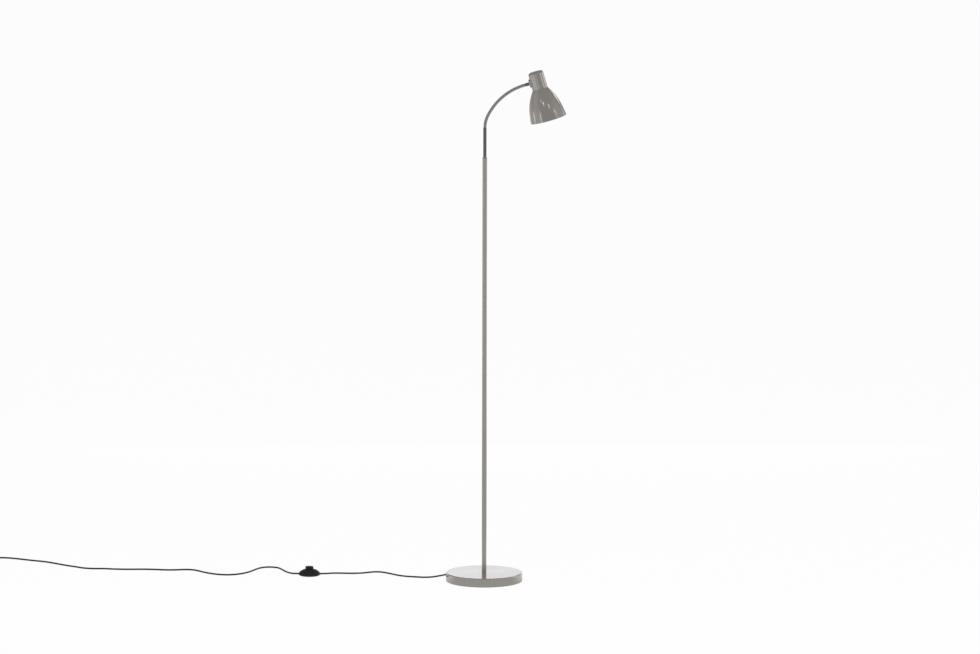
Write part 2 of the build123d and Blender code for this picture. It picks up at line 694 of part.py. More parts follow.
def head_ferrule():
    """The neck's top end: a socket for the last ball, and a thread that passes into the cap."""
    socket = socket_end()
    outer, bore = NECK_RADIUS, ENTRY_THREAD_BORE / 2
    thread = ENTRY_THREAD_DIAMETER / 2
    seat = TOP_FERRULE_LENGTH
    tip = seat + ROSETTE_THICKNESS + thread_depth()
    outside = Polyline(
        socket @ 1,
        (outer - RIB_DEPTH, 0, SOCKET_SKIRT),
        (outer, 0, SOCKET_SKIRT + LINK_EDGE_STEP),
        (outer, 0, seat),
        (thread, 0, seat),
        (thread, 0, tip),
        (bore, 0, tip),
        socket @ 0,
    )
    turned_solid = revolve(make_face([socket, outside]), Axis.Z)
    x, z = neck_pivots()[-1]
    tilt = math.radians(HEAD_TILT)
    across = Vector(math.cos(tilt), 0, math.sin(tilt))
    place = Plane(origin=(x, 0, z), x_dir=(across.Z, 0, -across.X), z_dir=across)
    return place.location * turned_solid


def thread_depth():
    """How far the neck's thread reaches in from the cap's outer wall."""
    return CAP_WALL + SADDLE_THICKNESS + BRACKET_THICKNESS + ENTRY_NUT_HEIGHT + ENTRY_THREAD_PROUD


def saddle_depth():
    """Depth of the saddle washer's flat face below the cap's outer wall."""
    return CAP_WALL + SADDLE_THICKNESS


def rosette():
    """The round plated plate outside the cap, hollowed to sit on its curved wall."""
    drop = CAP_RADIUS - math.sqrt(CAP_RADIUS**2 - (ROSETTE_DIAMETER / 2) ** 2)
    body = disc(ROSETTE_DIAMETER / 2, -drop - 2, ROSETTE_THICKNESS)
    body = fillet(body.edges().group_by(Axis.Z)[-1], ROSETTE_EDGE_RADIUS)
    body -= disc(ENTRY_THREAD_DIAMETER / 2 + ENTRY_FIT, -drop - 3, ROSETTE_THICKNESS + 1)
    return entry_frame() * body - head_frame() * cap_body(0)


def saddle_washer():
    """The washer inside the cap, curved on one side and flat on the other."""
    body = disc(SADDLE_DIAMETER / 2, -saddle_depth(), 0)
    body -= disc(ENTRY_THREAD_DIAMETER / 2 + ENTRY_FIT, -saddle_depth() - 1, 1)
    return (entry_frame() * body) & (head_frame() * cap_body(CAP_WALL))


def entry_nut():
    """The nut that holds the neck, the rosette and the bracket to the cap."""
    high = -saddle_depth() - BRACKET_THICKNESS
    low = high - ENTRY_NUT_HEIGHT
    blank = hexagon(ENTRY_NUT_ACROSS_FLATS, low, high)
    return entry_frame() * (blank - disc(ENTRY_THREAD_DIAMETER / 2 + STUD_FIT, low - 1, high + 1))


def holder_bracket():
    """The angle bracket from the neck's thread to the lamp holder's top."""
    face = -CAP_RADIUS + saddle_depth()
    low = NECK_ENTRY_HEIGHT - BRACKET_DROP
    top = HOLDER_TOP + BRACKET_THICKNESS
    upright = Box(BRACKET_THICKNESS, BRACKET_WIDTH, top - low, align=(Align.MIN, Align.CENTER, Align.MIN))
    arm = Box(BRACKET_ARM, BRACKET_WIDTH, BRACKET_THICKNESS, align=(Align.MIN, Align.CENTER, Align.MAX))
    body = upright.moved(Location((face, 0, low))) + arm.moved(Location((face, 0, top)))
    hole = Location((0, 0, NECK_ENTRY_HEIGHT)) * bar_along_x(
        ENTRY_THREAD_DIAMETER / 2 + ENTRY_FIT, face - 1, face + BRACKET_THICKNESS + 1
    )
    screw_hole = disc(BRACKET_SCREW_DIAMETER / 2 + ENTRY_FIT, top - 3, top + 1)
    return head_frame() * (body - hole - screw_hole)


def bracket_screw():
    """The screw that holds the lamp holder under the bracket."""
    seat = HOLDER_TOP + BRACKET_THICKNESS
    crown = seat + BRACKET_SCREW_HEAD_HEIGHT
    shank = disc(BRACKET_SCREW_DIAMETER / 2, seat - BRACKET_SCREW_LENGTH, seat)
    head = disc(BRACKET_SCREW_HEAD / 2, seat, crown)
    head = fillet(head.edges().group_by(Axis.Z)[-1], BRACKET_SCREW_HEAD_HEIGHT * 0.4)
    width, depth = BRACKET_SCREW_SLOT
    slot = Box(BRACKET_SCREW_HEAD + 1, width, 2 * depth).moved(Location((0, 0, crown)))
    return head_frame() * (shank + head - slot)


def lamp_holder():
    """The moulded lamp holder: body and shoulder in the cap, threaded skirt in the shade."""
    bore = HOLDER_SKIRT_DIAMETER / 2 - HOLDER_WALL
    body = turned(
        [
            (bore, HOLDER_LOW),
            (HOLDER_SKIRT_DIAMETER / 2, HOLDER_LOW),
            (HOLDER_SKIRT_DIAMETER / 2, COLLAR_TOP),
            (HOLDER_SHOULDER_DIAMETER / 2, COLLAR_TOP),
            (HOLDER_SHOULDER_DIAMETER / 2, HOLDER_SHOULDER_TOP),
            (HOLDER_BODY_DIAMETER / 2, HOLDER_SHOULDER_TOP),
            (HOLDER_BODY_DIAMETER / 2, HOLDER_BODY_TOP),
            (HOLDER_TOP_DIAMETER / 2, HOLDER_BODY_TOP + HOLDER_TOP_SLOPE),
            (HOLDER_TOP_DIAMETER / 2, HOLDER_TOP),
            (0, HOLDER_TOP),
            (0, HOLDER_BORE_ROOF),
            (bore, HOLDER_BORE_ROOF),
        ]
    )
    screw_hole = disc(BRACKET_SCREW_DIAMETER / 2, HOLDER_TOP - BRACKET_SCREW_LENGTH, HOLDER_TOP + 1)
    return head_frame() * (body - screw_hole)


def screw_shell():
    """The holder's metal shell for the bulb's cap, with its spring contact at the top."""
    inner = LAMP_CAP_DIAMETER / 2 + LAMP_CAP_FIT
    outer = inner + SCREW_SHELL_WALL
    low = HOLDER_LOW + SCREW_SHELL_LIFT
    web_low = low + SHELL_WEB_LIFT
    shell = ring(outer, inner, low, HOLDER_BORE_ROOF)
    web = ring(HOLDER_SKIRT_DIAMETER / 2 - HOLDER_WALL, inner, web_low, web_low + SHELL_WEB_THICKNESS)
    contact = Box(*CONTACT_SIZE, align=(Align.CENTER, Align.CENTER, Align.MAX))
    contact = contact.moved(Location((CONTACT_OFFSET, 0, HOLDER_BORE_ROOF)))
    return head_frame() * Compound(children=[shell + web, contact])


def shade_ring():
    """The notched ring that clamps the shade's collar under the holder's shoulder."""
    high = COLLAR_TOP - SHADE_WALL
    low = high - SHADE_RING_HEIGHT
    body = ring(SHADE_RING_DIAMETER / 2, HOLDER_SKIRT_DIAMETER / 2 + STUD_FIT, low, high)
    for index in range(SHADE_RING_NOTCHES):
        notch = Location((0, 0, 0), (0, 0, index * 360 / SHADE_RING_NOTCHES)) * Location(
            (SHADE_RING_DIAMETER / 2, 0, low)
        )
        body -= notch * Box(SHADE_RING_NOTCH, SHADE_RING_NOTCH, SHADE_RING_HEIGHT)
    return head_frame() * body


def globe_body(inset):
    """The bulb's globe and neck, filled, with the outline moved inwards by inset."""
    radius = GLOBE_DIAMETER / 2 - inset
    flare = radius * GLOBE_NECK_FLARE
    join = GLOBE_CENTRE_HEIGHT + math.sqrt(radius**2 - flare**2)
    neck = turned(
        [
            (0, join),
            (flare, join),
            (GLOBE_NECK_DIAMETER / 2 - inset, BULB_TOP - GLOBE_NECK_LENGTH),
            (LAMP_CAP_DIAMETER / 2 + GLOBE_NECK_LIP - inset, BULB_TOP),
            (0, BULB_TOP),
        ]
    )
    return Sphere(radius).moved(Location((0, 0, GLOBE_CENTRE_HEIGHT))) + neck


def bulb_globe():
    """The bulb's blown glass: globe and neck, open into the screw cap."""
    return head_frame() * (globe_body(0) - globe_body(GLASS_WALL))


def bulb_base():
    """The bulb's metal screw cap and its tip contact."""
    high = BULB_TOP + LAMP_CAP_LENGTH
    radius = LAMP_CAP_DIAMETER / 2
    body = turned(
        [
            (0, BULB_TOP),
            (radius, BULB_TOP),
            (radius, high - LAMP_TIP_LENGTH - LAMP_TIP_SLOPE),
            (LAMP_TIP_DIAMETER / 2, high - LAMP_TIP_LENGTH),
            (LAMP_TIP_DIAMETER / 2, high),
            (0, high),
        ]
    )
    return head_frame() * body


# ---------------------------------------------------------------- foot switch: local origin on the floor
def switch_frame():
    """The foot switch's place on the floor."""
    return Location((SWITCH_X, SWITCH_Y, 0))


def cord_way(length):
    """The lead's way through both sides of the switch."""
    radius = CORD_DIAMETER / 2 + SWITCH_CORD_FIT
    return Location((0, 0, SWITCH_SEAM_HEIGHT)) * bar_along_x(radius, -length / 2, length / 2)


def switch_outline(inset):
    """The switch's closed body, filled, with its outline moved inwards by inset."""
    foot, waist = SWITCH_FOOT_DIAMETER / 2 - inset, SWITCH_DIAMETER / 2 - inset
    collar = BUTTON_DIAMETER / 2 + BUTTON_FIT + COLLAR_WIDTH
    seam, roof = SWITCH_SEAM_HEIGHT, SWITCH_DOME_HEIGHT - inset
    belly = ThreePointArc((foot, 0, inset), ((foot + waist * 2) / 3, 0, inset + SWITCH_BELLY_LIFT), (waist, 0, seam))
    swell_out, swell_up = SWITCH_DOME_SWELL
    brow = ((waist + collar) / 2 + swell_out, 0, (seam + roof) / 2 + swell_up)
    dome = ThreePointArc((waist, 0, seam), brow, (collar, 0, roof))
    rest = Polyline(dome @ 1, (0, 0, roof), (0, 0, inset), belly @ 0)
    return revolve(make_face([belly, dome, rest]), Axis.Z)


def screw_places():
    """The switch's two screws, front and back."""
    return [Location((0, side * SWITCH_SCREW_SPACING / 2, 0)) for side in (-1, 1)]


def switch_base():
    """The lower shell, with its spring post and recessed screw holes."""
    half = disc(SWITCH_DIAMETER, -1, SWITCH_SEAM_HEIGHT)
    shell = (switch_outline(0) & half) - switch_outline(SWITCH_WALL)
    post = disc(SPRING_POST_DIAMETER / 2 + SPRING_SEAT_MARGIN, SWITCH_WALL, SPRING_SEAT_HEIGHT)
    post += disc(SPRING_POST_DIAMETER / 2, SPRING_SEAT_HEIGHT, SPRING_SEAT_HEIGHT + SPRING_POST_TIP)
    shell += post
    for place in screw_places():
        shell += place * disc(SWITCH_BOSS_DIAMETER / 2, SWITCH_WALL, SWITCH_SEAM_HEIGHT)
        shell -= place * disc(SWITCH_SCREW_DIAMETER / 2 + SCREW_FIT, -1, SWITCH_SEAM_HEIGHT + 1)
        seat = SWITCH_SCREW_SINK + SWITCH_SCREW_HEAD_HEIGHT
        shell -= place * disc(SWITCH_SCREW_HEAD / 2 + 2 * SCREW_FIT, -1, seat)
    return switch_frame() * (shell - cord_way(SWITCH_DIAMETER + 10))


def switch_cover():
    """The domed upper shell, with its button hole, collar and screw bosses."""
    half = disc(SWITCH_DIAMETER, SWITCH_SEAM_HEIGHT, SWITCH_DOME_HEIGHT + 1)
    shell = (switch_outline(0) & half) - switch_outline(SWITCH_WALL)
    for place in screw_places():
        boss = place * disc(SWITCH_BOSS_DIAMETER / 2, SWITCH_SEAM_HEIGHT, SWITCH_DOME_HEIGHT)
        boss = boss & switch_outline(SWITCH_WALL / 2)
        shell += boss
        hole_top = SWITCH_SEAM_HEIGHT + SWITCH_SCREW_BITE + 0.5
        shell -= place * disc(SWITCH_SCREW_DIAMETER / 2, SWITCH_SEAM_HEIGHT - 1, hole_top)
    button_way = disc(BUTTON_DIAMETER / 2 + BUTTON_FIT, SWITCH_SEAM_HEIGHT, SWITCH_DOME_HEIGHT + 1)
    return switch_frame() * (shell - button_way - cord_way(SWITCH_DIAMETER + 10))


def switch_screws():
    """The two screws that close the switch from below."""
    screws = []
    for place in screw_places():
        low = SWITCH_SCREW_SINK
        width, depth = SWITCH_SCREW_SLOT
        head = disc(SWITCH_SCREW_HEAD / 2, low, low + SWITCH_SCREW_HEAD_HEIGHT)
        shank = disc(SWITCH_SCREW_DIAMETER / 2 - SCREW_FIT, low, SWITCH_SEAM_HEIGHT + SWITCH_SCREW_BITE)
        slot = Box(SWITCH_SCREW_HEAD + 1, width, 2 * depth).moved(Location((0, 0, low)))
        screws.append(switch_frame() * place * (head + shank - slot))
    return Compound(children=screws)


def switch_button():
    """The round foot button, held under the cover by its flange."""
    flange_top = SWITCH_DOME_HEIGHT - SWITCH_WALL - BUTTON_FLANGE_FIT
    radius = BUTTON_DIAMETER / 2
    body = disc(radius, flange_top - BUTTON_FLANGE, BUTTON_TOP_HEIGHT)
    body = fillet(body.edges().group_by(Axis.Z)[-1], BUTTON_EDGE_RADIUS)
    body += disc(BUTTON_FLANGE_DIAMETER / 2, flange_top - BUTTON_FLANGE, flange_top)
    body -= disc(radius - BUTTON_WALL, flange_top - BUTTON_FLANGE - 1, BUTTON_WEB)
    for index in range(BUTTON_GRIP_RINGS):
        groove = radius * (BUTTON_GRIP_RINGS - index) / (BUTTON_GRIP_RINGS + 1)
        low = BUTTON_TOP_HEIGHT - BUTTON_GRIP_DEPTH
        body -= ring(groove, groove - BUTTON_GRIP_WIDTH, low, BUTTON_TOP_HEIGHT + 1)
    return switch_frame() * body


def biarc(start, start_way, end, end_way):
    """Two arcs that leave start along start_way and arrive at end along end_way."""
    span, ways = end - start, start_way + end_way
    square = ways.dot(ways) - 4
    cross = span.dot(ways)
    reach = (cross - math.sqrt(cross**2 - square * span.dot(span))) / square
    middle = (start + start_way * reach + end - end_way * reach) * 0.5
    return [
        TangentArc(start, middle, tangent=start_way),
        TangentArc(middle, end, tangent=-end_way, tangent_from_first=False),
    ]


def winding(centre, start_bearing, stations):
    """Tangent arcs through quarter-turn stations of (radius, height) about an upright axis."""
    points, ways = [], []
    for index, (radius, height) in enumerate(stations):
        angle = math.radians(start_bearing + 90 * index)
        out = Vector(math.cos(angle), math.sin(angle), 0)
        points.append(Vector(centre[0], centre[1], 0) + out * radius + Vector(0, 0, height))
        before, after = stations[max(index - 1, 0)], stations[min(index + 1, len(stations) - 1)]
        ends = index in (0, len(stations) - 1)
        growth = 0 if ends else (after[0] - before[0]) / math.pi
        climb = 0 if ends else (after[1] - before[1]) / math.pi
        way = Vector(-math.sin(angle), math.cos(angle), 0) * radius + out * growth + Vector(0, 0, climb)
        ways.append(way.normalized())
    arcs = []
    for index in range(len(points) - 1):
        arcs += biarc(points[index], ways[index], points[index + 1], ways[index + 1])
    return arcs, points, ways


def swept(edges, radius):
    """A round wire or lead along joined edges."""
    path = Wire(edges)
    section = Plane(origin=path @ 0, z_dir=path % 0) * Circle(radius)
    return sweep(section, path=path)


def least_self_gap(edges, radius):
    """Least gap between turns that aren't next to each other along the path."""
    path = Wire(edges)
    count = int(path.length / radius)
    step = path.length / count
    points = [path @ (index / count) for index in range(count + 1)]
    apart = int(math.pi * radius * 3 / step) + 1
    gaps = [
        (points[one] - points[two]).length - 2 * radius
        for one in range(count + 1)
        for two in range(one + apart, count + 1)
    ]
    return min(gaps)


def switch_spring():
    """The button's return spring, wound between the base's post and the button."""
    low = SPRING_SEAT_HEIGHT + SPRING_WIRE / 2
    high = BUTTON_WEB - SPRING_WIRE / 2
    quarters = SPRING_TURNS * 4
    stations = [
        (SPRING_DIAMETER / 2, low + (high - low) * index / quarters) for index in range(quarters + 1)
    ]
    edges, _, _ = winding((0, 0), 0, stations)
    return switch_frame() * swept(edges, SPRING_WIRE / 2)


def terminal_places():
    """The two terminals inside the switch, right and left."""
    return [(side, side * (SWITCH_TERMINAL_SPAN - TERMINAL_SIZE[0]) / 2) for side in (1, -1)]


def switch_contacts():
    """The two brass terminals that the lead's ends are screwed into."""
    blocks = []
    for _, x in terminal_places():
        block = Box(*TERMINAL_SIZE, align=(Align.CENTER, Align.CENTER, Align.MIN))
        blocks.append(switch_frame() * block.moved(Location((x, 0, SWITCH_WALL))))
    return Compound(children=blocks)


def cord_clamps():
    """The two bars that press the lead down just inside the switch's wall."""
    radius = CORD_DIAMETER / 2
    bars = []
    for side, _ in terminal_places():
        x = side * (SWITCH_TERMINAL_SPAN / 2 + CLAMP_INSET)
        bar = Box(*CLAMP_SIZE, align=(Align.CENTER, Align.CENTER, Align.MIN))
        bar = bar.moved(Location((x, 0, SWITCH_SEAM_HEIGHT)))
        groove = Location((0, 0, SWITCH_SEAM_HEIGHT)) * bar_along_x(radius, x - 9, x + 9)
        bars.append(switch_frame() * (bar - groove))
    return Compound(children=bars)


# ---------------------------------------------------------------- lead
def tube_through(points, name):
    """A lead along straight runs joined by tangent arcs, each as large as its runs allow."""
    radii = []
    for before, corner, after in zip(points, points[1:], points[2:]):
        first, second = corner - before, after - corner
        turn = math.radians(first.get_angle(second))
        radii.append(0.45 * min(first.length, second.length) / math.tan(turn / 2))
    path = FilletPolyline(*points, radius=radii)
    section = Plane(origin=path @ 0, z_dir=path % 0) * Circle(CORD_DIAMETER / 2)
    tube = sweep(section, path=path)
    share = tube.volume / (math.pi * (CORD_DIAMETER / 2) ** 2 * path.length)
    print(name, "length", round(path.length), "least radius", round(min(radii), 1), "share", round(share, 4))
    print("  radii", [round(radius) for radius in radii])
    return tube


def inner_lead():
    """The lead inside the lamp, from its strain relief up the pole to the neck's foot."""
    bearing = math.radians(CORD_EXIT_BEARING)
    reach = BASE_RADIUS + BUSHING_TAIL_LENGTH
    out = Vector(math.cos(bearing), math.sin(bearing), 0)
    points = [
        out * reach + Vector(0, 0, CORD_EXIT_HEIGHT),
        Vector(0, 0, CORD_EXIT_HEIGHT),
        Vector(0, 0, NECK_START - LEAD_STOP_BELOW_NECK),
    ]
    path = FilletPolyline(*points, radius=CORD_BASE_BEND)
    section = Plane(origin=path @ 0, z_dir=path % 0) * Circle(CORD_DIAMETER / 2)
    return sweep(section, path=path)


def cord_to_switch():
    """The lead from the base's strain relief to the foot switch."""
    bearing = math.radians(CORD_EXIT_BEARING)
    reach = BASE_RADIUS + BUSHING_TAIL_LENGTH
    out = Vector(math.cos(bearing), math.sin(bearing), 0)
    start = out * reach + Vector(0, 0, CORD_EXIT_HEIGHT)
    leave = start + out * BUSHING_RUN
    end = Vector(SWITCH_X + SWITCH_TERMINAL_SPAN / 2, SWITCH_Y, SWITCH_SEAM_HEIGHT)
    entry = end + Vector(SWITCH_ENTRY_RUN, 0, 0)
    points = [start, leave] + [Vector(*point) for point in ROUTE_TO_SWITCH] + [entry, end]
    return tube_through(points, "cord_to_switch")


def coil_path():
    """The coil's arcs, and its start and end: inwards below, then outwards above."""
    low = CORD_DIAMETER / 2 + TIE_THICKNESS + TIE_GAP
    high = low + COIL_TURN_STEP
    inner = COIL_OUTER_RADIUS - COIL_TURN_STEP * COIL_LOWER_TURNS
    lower = round(COIL_LOWER_TURNS * 4)
    upper = round(COIL_UPPER_TURNS * 4)
    stations = [(COIL_OUTER_RADIUS - COIL_TURN_STEP * index / 4, low) for index in range(lower + 1)]
    stations += [(inner - COIL_CLIMB_INSET, (low + high) / 2)]
    stations += [(inner + COIL_TURN_STEP * index / 4, high) for index in range(upper - 1)]
    stations += [(COIL_OUTER_RADIUS, high), (COIL_OUTER_RADIUS + COIL_OVERHANG, PLUG_AXIS_HEIGHT)]
    arcs, points, ways = winding(COIL_CENTRE, 90, stations)
    start = points[0] - ways[0] * CORD_DIAMETER
    end = points[-1] + ways[-1] * CORD_DIAMETER
    edges = [Line(start, points[0])] + arcs + [Line(points[-1], end)]
    return edges, start, ways[0], end, ways[-1]


def cord_to_coil():
    """The lead from the foot switch to the coil."""
    start = Vector(SWITCH_X - SWITCH_TERMINAL_SPAN / 2, SWITCH_Y, SWITCH_SEAM_HEIGHT)
    leave = start - Vector(SWITCH_ENTRY_RUN, 0, 0)
    _, coil_start, coil_way, _, _ = coil_path()
    arrive = coil_start - coil_way * COIL_ENTRY_RUN
    points = [start, leave] + [Vector(*point) for point in ROUTE_TO_COIL] + [arrive, coil_start]
    return tube_through(points, "cord_to_coil")


def cord_coil():
    """The lead's spare length, wound in and out again in two layers."""
    edges, _, _, _, _ = coil_path()
    coil = swept(edges, CORD_DIAMETER / 2)
    length = Wire(edges).length
    share = coil.volume / (math.pi * (CORD_DIAMETER / 2) ** 2 * length)
    print("cord_coil length", round(length), "share", round(share, 4))
    print("cord_coil least gap", round(least_self_gap(edges, CORD_DIAMETER / 2), 2))
    return coil


def cord_tie():
    """The strap round the coil, half a turn on from where the lead comes in."""
    half_lead = CORD_DIAMETER / 2 + TIE_GAP
    inner = COIL_OUTER_RADIUS - COIL_TURN_STEP * COIL_LOWER_TURNS - half_lead
    outer = COIL_OUTER_RADIUS - COIL_TURN_STEP / 2 + half_lead
    height = COIL_TURN_STEP + 2 * half_lead
    skin = TIE_THICKNESS
    across = outer - inner
    hole = Box(across, TIE_WIDTH + 2, height)
    hole = fillet(hole.edges().filter_by(Axis.Y), half_lead)
    strap = Box(across + 2 * skin, TIE_WIDTH, height + 2 * skin)
    strap = fillet(strap.edges().filter_by(Axis.Y), half_lead + skin)
    middle = Location(((inner + outer) / 2, 0, skin + height / 2))
    place = Location((COIL_CENTRE[0], COIL_CENTRE[1], 0), (0, 0, -90))
    return place * middle * (strap - hole)


# ---------------------------------------------------------------- plug: local +X points at the pins
def plug_frame():
    """The plug's place at the coil's end."""
    _, _, _, end, way = coil_path()
    return Plane(origin=end, x_dir=way, z_dir=(0, 0, 1)).location


def plug_body():
    """The moulded two-pin plug body, with its tapered tail."""
    nose = PLUG_FACE - PLUG_NOSE_LENGTH
    half, waist = PLUG_FACE_WIDTH / 2, PLUG_WAIST_WIDTH / 2
    outline = make_face(
        Polyline(
            (PLUG_TAIL_LENGTH, -waist),
            (nose, -half),
            (PLUG_FACE, -half),
            (PLUG_FACE, half),
            (nose, half),
            (PLUG_TAIL_LENGTH, waist),
            close=True,
        )
    )
    body = extrude(outline, PLUG_AXIS_HEIGHT, both=True)
    body = fillet(body.edges().filter_by(Axis.Z), PLUG_CORNER_RADIUS)
    levels = body.edges().group_by(Axis.Z)
    body = fillet(levels[0] + levels[-1], PLUG_EDGE_RADIUS)
    tail = Location((0, 0, 0), (0, 90, 0)) * Cone(
        PLUG_TAIL_END_DIAMETER / 2,
        PLUG_TAIL_DIAMETER / 2,
        PLUG_TAIL_LENGTH + 1,
        align=(Align.CENTER, Align.CENTER, Align.MIN),
    )
    body += tail
    for side in (-1, 1):
        pin = bar_along_x(PIN_DIAMETER / 2, PLUG_FACE - PIN_EMBED, PLUG_FACE + 1)
        body -= pin.moved(Location((0, side * PIN_SPACING / 2, 0)))
    return plug_frame() * body


def plug_pins():
    """The plug's two round pins."""
    sleeve_end = PLUG_FACE + SLEEVE_LENGTH
    pins = []
    for side in (-1, 1):
        sleeved = bar_along_x(PIN_DIAMETER / 2 - SLEEVE_WALL, PLUG_FACE, sleeve_end)
        tip = bar_along_x(PIN_DIAMETER / 2, sleeve_end, PLUG_FACE + PIN_LENGTH)
        tip = fillet(tip.edges().group_by(Axis.X)[-1], PIN_TIP_RADIUS)
        root = bar_along_x(PIN_DIAMETER / 2, PLUG_FACE - PIN_EMBED, PLUG_FACE)
        pins.append(plug_frame() * Location((0, side * PIN_SPACING / 2, 0)) * (root + sleeved + tip))
    return Compound(children=pins)


def pin_sleeves():
    """The insulating sleeves on the pins' inner halves."""
    end = PLUG_FACE + SLEEVE_LENGTH
    sleeves = []
    for side in (-1, 1):
        sleeve = bar_along_x(PIN_DIAMETER / 2, PLUG_FACE, end)
        sleeve -= bar_along_x(PIN_DIAMETER / 2 - SLEEVE_WALL, PLUG_FACE - 1, end + 1)
        sleeves.append(plug_frame() * Location((0, side * PIN_SPACING / 2, 0)) * sleeve)
    return Compound(children=sleeves)


def all_parts():
    """Every piece of the lamp by name."""
    parts = {
        "base_cover": base_cover(),
        "base_weight": base_weight(),
        "floor_pad": floor_pad(),
        "base_stud": base_stud(),
        "base_washer": base_washer(),
        "base_nut": base_nut(),
        "cord_bushing": cord_bushing(),
        "pole_lower": pole_tube(0),
        "pole_middle": pole_tube(1),
        "pole_upper": pole_tube(2),
        "pole_inserts": pole_inserts(),
        "joint_studs": joint_studs(),
        "pole_bush": pole_bush(),
        "neck_ferrule": neck_ferrule(),
        "head_ferrule": head_ferrule(),
        "rosette": rosette(),
        "saddle_washer": saddle_washer(),
        "entry_nut": entry_nut(),
        "holder_bracket": holder_bracket(),
        "bracket_screw": bracket_screw(),
        "lamp_holder": lamp_holder(),
        "screw_shell": screw_shell(),
        "shade": shade(),
        "shade_ring": shade_ring(),
        "lamp_cap": lamp_cap(),
        "bulb_globe": bulb_globe(),
        "bulb_base": bulb_base(),
        "inner_lead": inner_lead(),
        "switch_base": switch_base(),
        "switch_cover": switch_cover(),
        "switch_button": switch_button(),
        "switch_spring": switch_spring(),
        "switch_screws": switch_screws(),
        "switch_contacts": switch_contacts(),
        "cord_clamps": cord_clamps(),
        "cord_to_switch": cord_to_switch(),
        "cord_to_coil": cord_to_coil(),
        "cord_coil": cord_coil(),
        "cord_tie": cord_tie(),
        "plug_body": plug_body(),
        "plug_pins": plug_pins(),
        "pin_sleeves": pin_sleeves(),
    }
    for index, link in enumerate(neck_links(), start=1):
        parts[f"neck_link_{index:02d}"] = link
    return parts


os.makedirs("parts", exist_ok=True)
for name, part in all_parts().items():
    export_step(part, f"parts/{name}.step")
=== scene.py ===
"""Finishes, lead, gooseneck winding and studio for the gooseneck reading floor lamp.

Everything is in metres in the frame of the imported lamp: the origin is the centre of the base's
underside, +Z is up, and the neck bends towards +X.
"""

from __future__ import annotations

import functools
import json
import logging
import math
from collections.abc import Iterable, Sequence
from dataclasses import dataclass
from enum import Enum

import bmesh
import bpy
from bpy.types import Material, Mesh, Node, NodeSocket, NodeTree, Object
from mathutils import Matrix, Vector

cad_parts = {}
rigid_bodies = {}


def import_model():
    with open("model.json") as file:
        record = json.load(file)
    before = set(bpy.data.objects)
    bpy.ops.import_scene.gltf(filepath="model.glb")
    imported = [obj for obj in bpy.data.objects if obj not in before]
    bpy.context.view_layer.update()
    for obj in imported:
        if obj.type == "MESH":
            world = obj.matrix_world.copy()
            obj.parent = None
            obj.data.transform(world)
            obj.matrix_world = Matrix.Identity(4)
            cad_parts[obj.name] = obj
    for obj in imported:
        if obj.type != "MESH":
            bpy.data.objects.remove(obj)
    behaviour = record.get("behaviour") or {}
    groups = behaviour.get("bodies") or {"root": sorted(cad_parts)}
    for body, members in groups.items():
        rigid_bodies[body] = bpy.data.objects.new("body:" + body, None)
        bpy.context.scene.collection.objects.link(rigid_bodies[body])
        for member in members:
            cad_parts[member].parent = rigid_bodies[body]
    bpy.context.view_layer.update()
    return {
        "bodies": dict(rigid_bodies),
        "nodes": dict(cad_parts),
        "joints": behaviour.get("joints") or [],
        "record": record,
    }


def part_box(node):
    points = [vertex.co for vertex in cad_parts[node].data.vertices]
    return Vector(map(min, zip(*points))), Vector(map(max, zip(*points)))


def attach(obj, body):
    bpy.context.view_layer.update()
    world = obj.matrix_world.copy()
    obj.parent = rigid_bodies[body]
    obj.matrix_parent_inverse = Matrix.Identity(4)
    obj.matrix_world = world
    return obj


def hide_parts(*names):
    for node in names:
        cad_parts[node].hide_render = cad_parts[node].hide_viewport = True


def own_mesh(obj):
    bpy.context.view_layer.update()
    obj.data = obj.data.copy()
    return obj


LOG = logging.getLogger("floor_lamp")
MM = 0.001

Point = tuple[float, float, float]
Colour = tuple[float, float, float]
Pair = tuple[float, float]
Sockets = bpy.types.bpy_prop_collection

SHADER = "ShaderNodeTree"
GEOMETRY = "GeometryNodeTree"


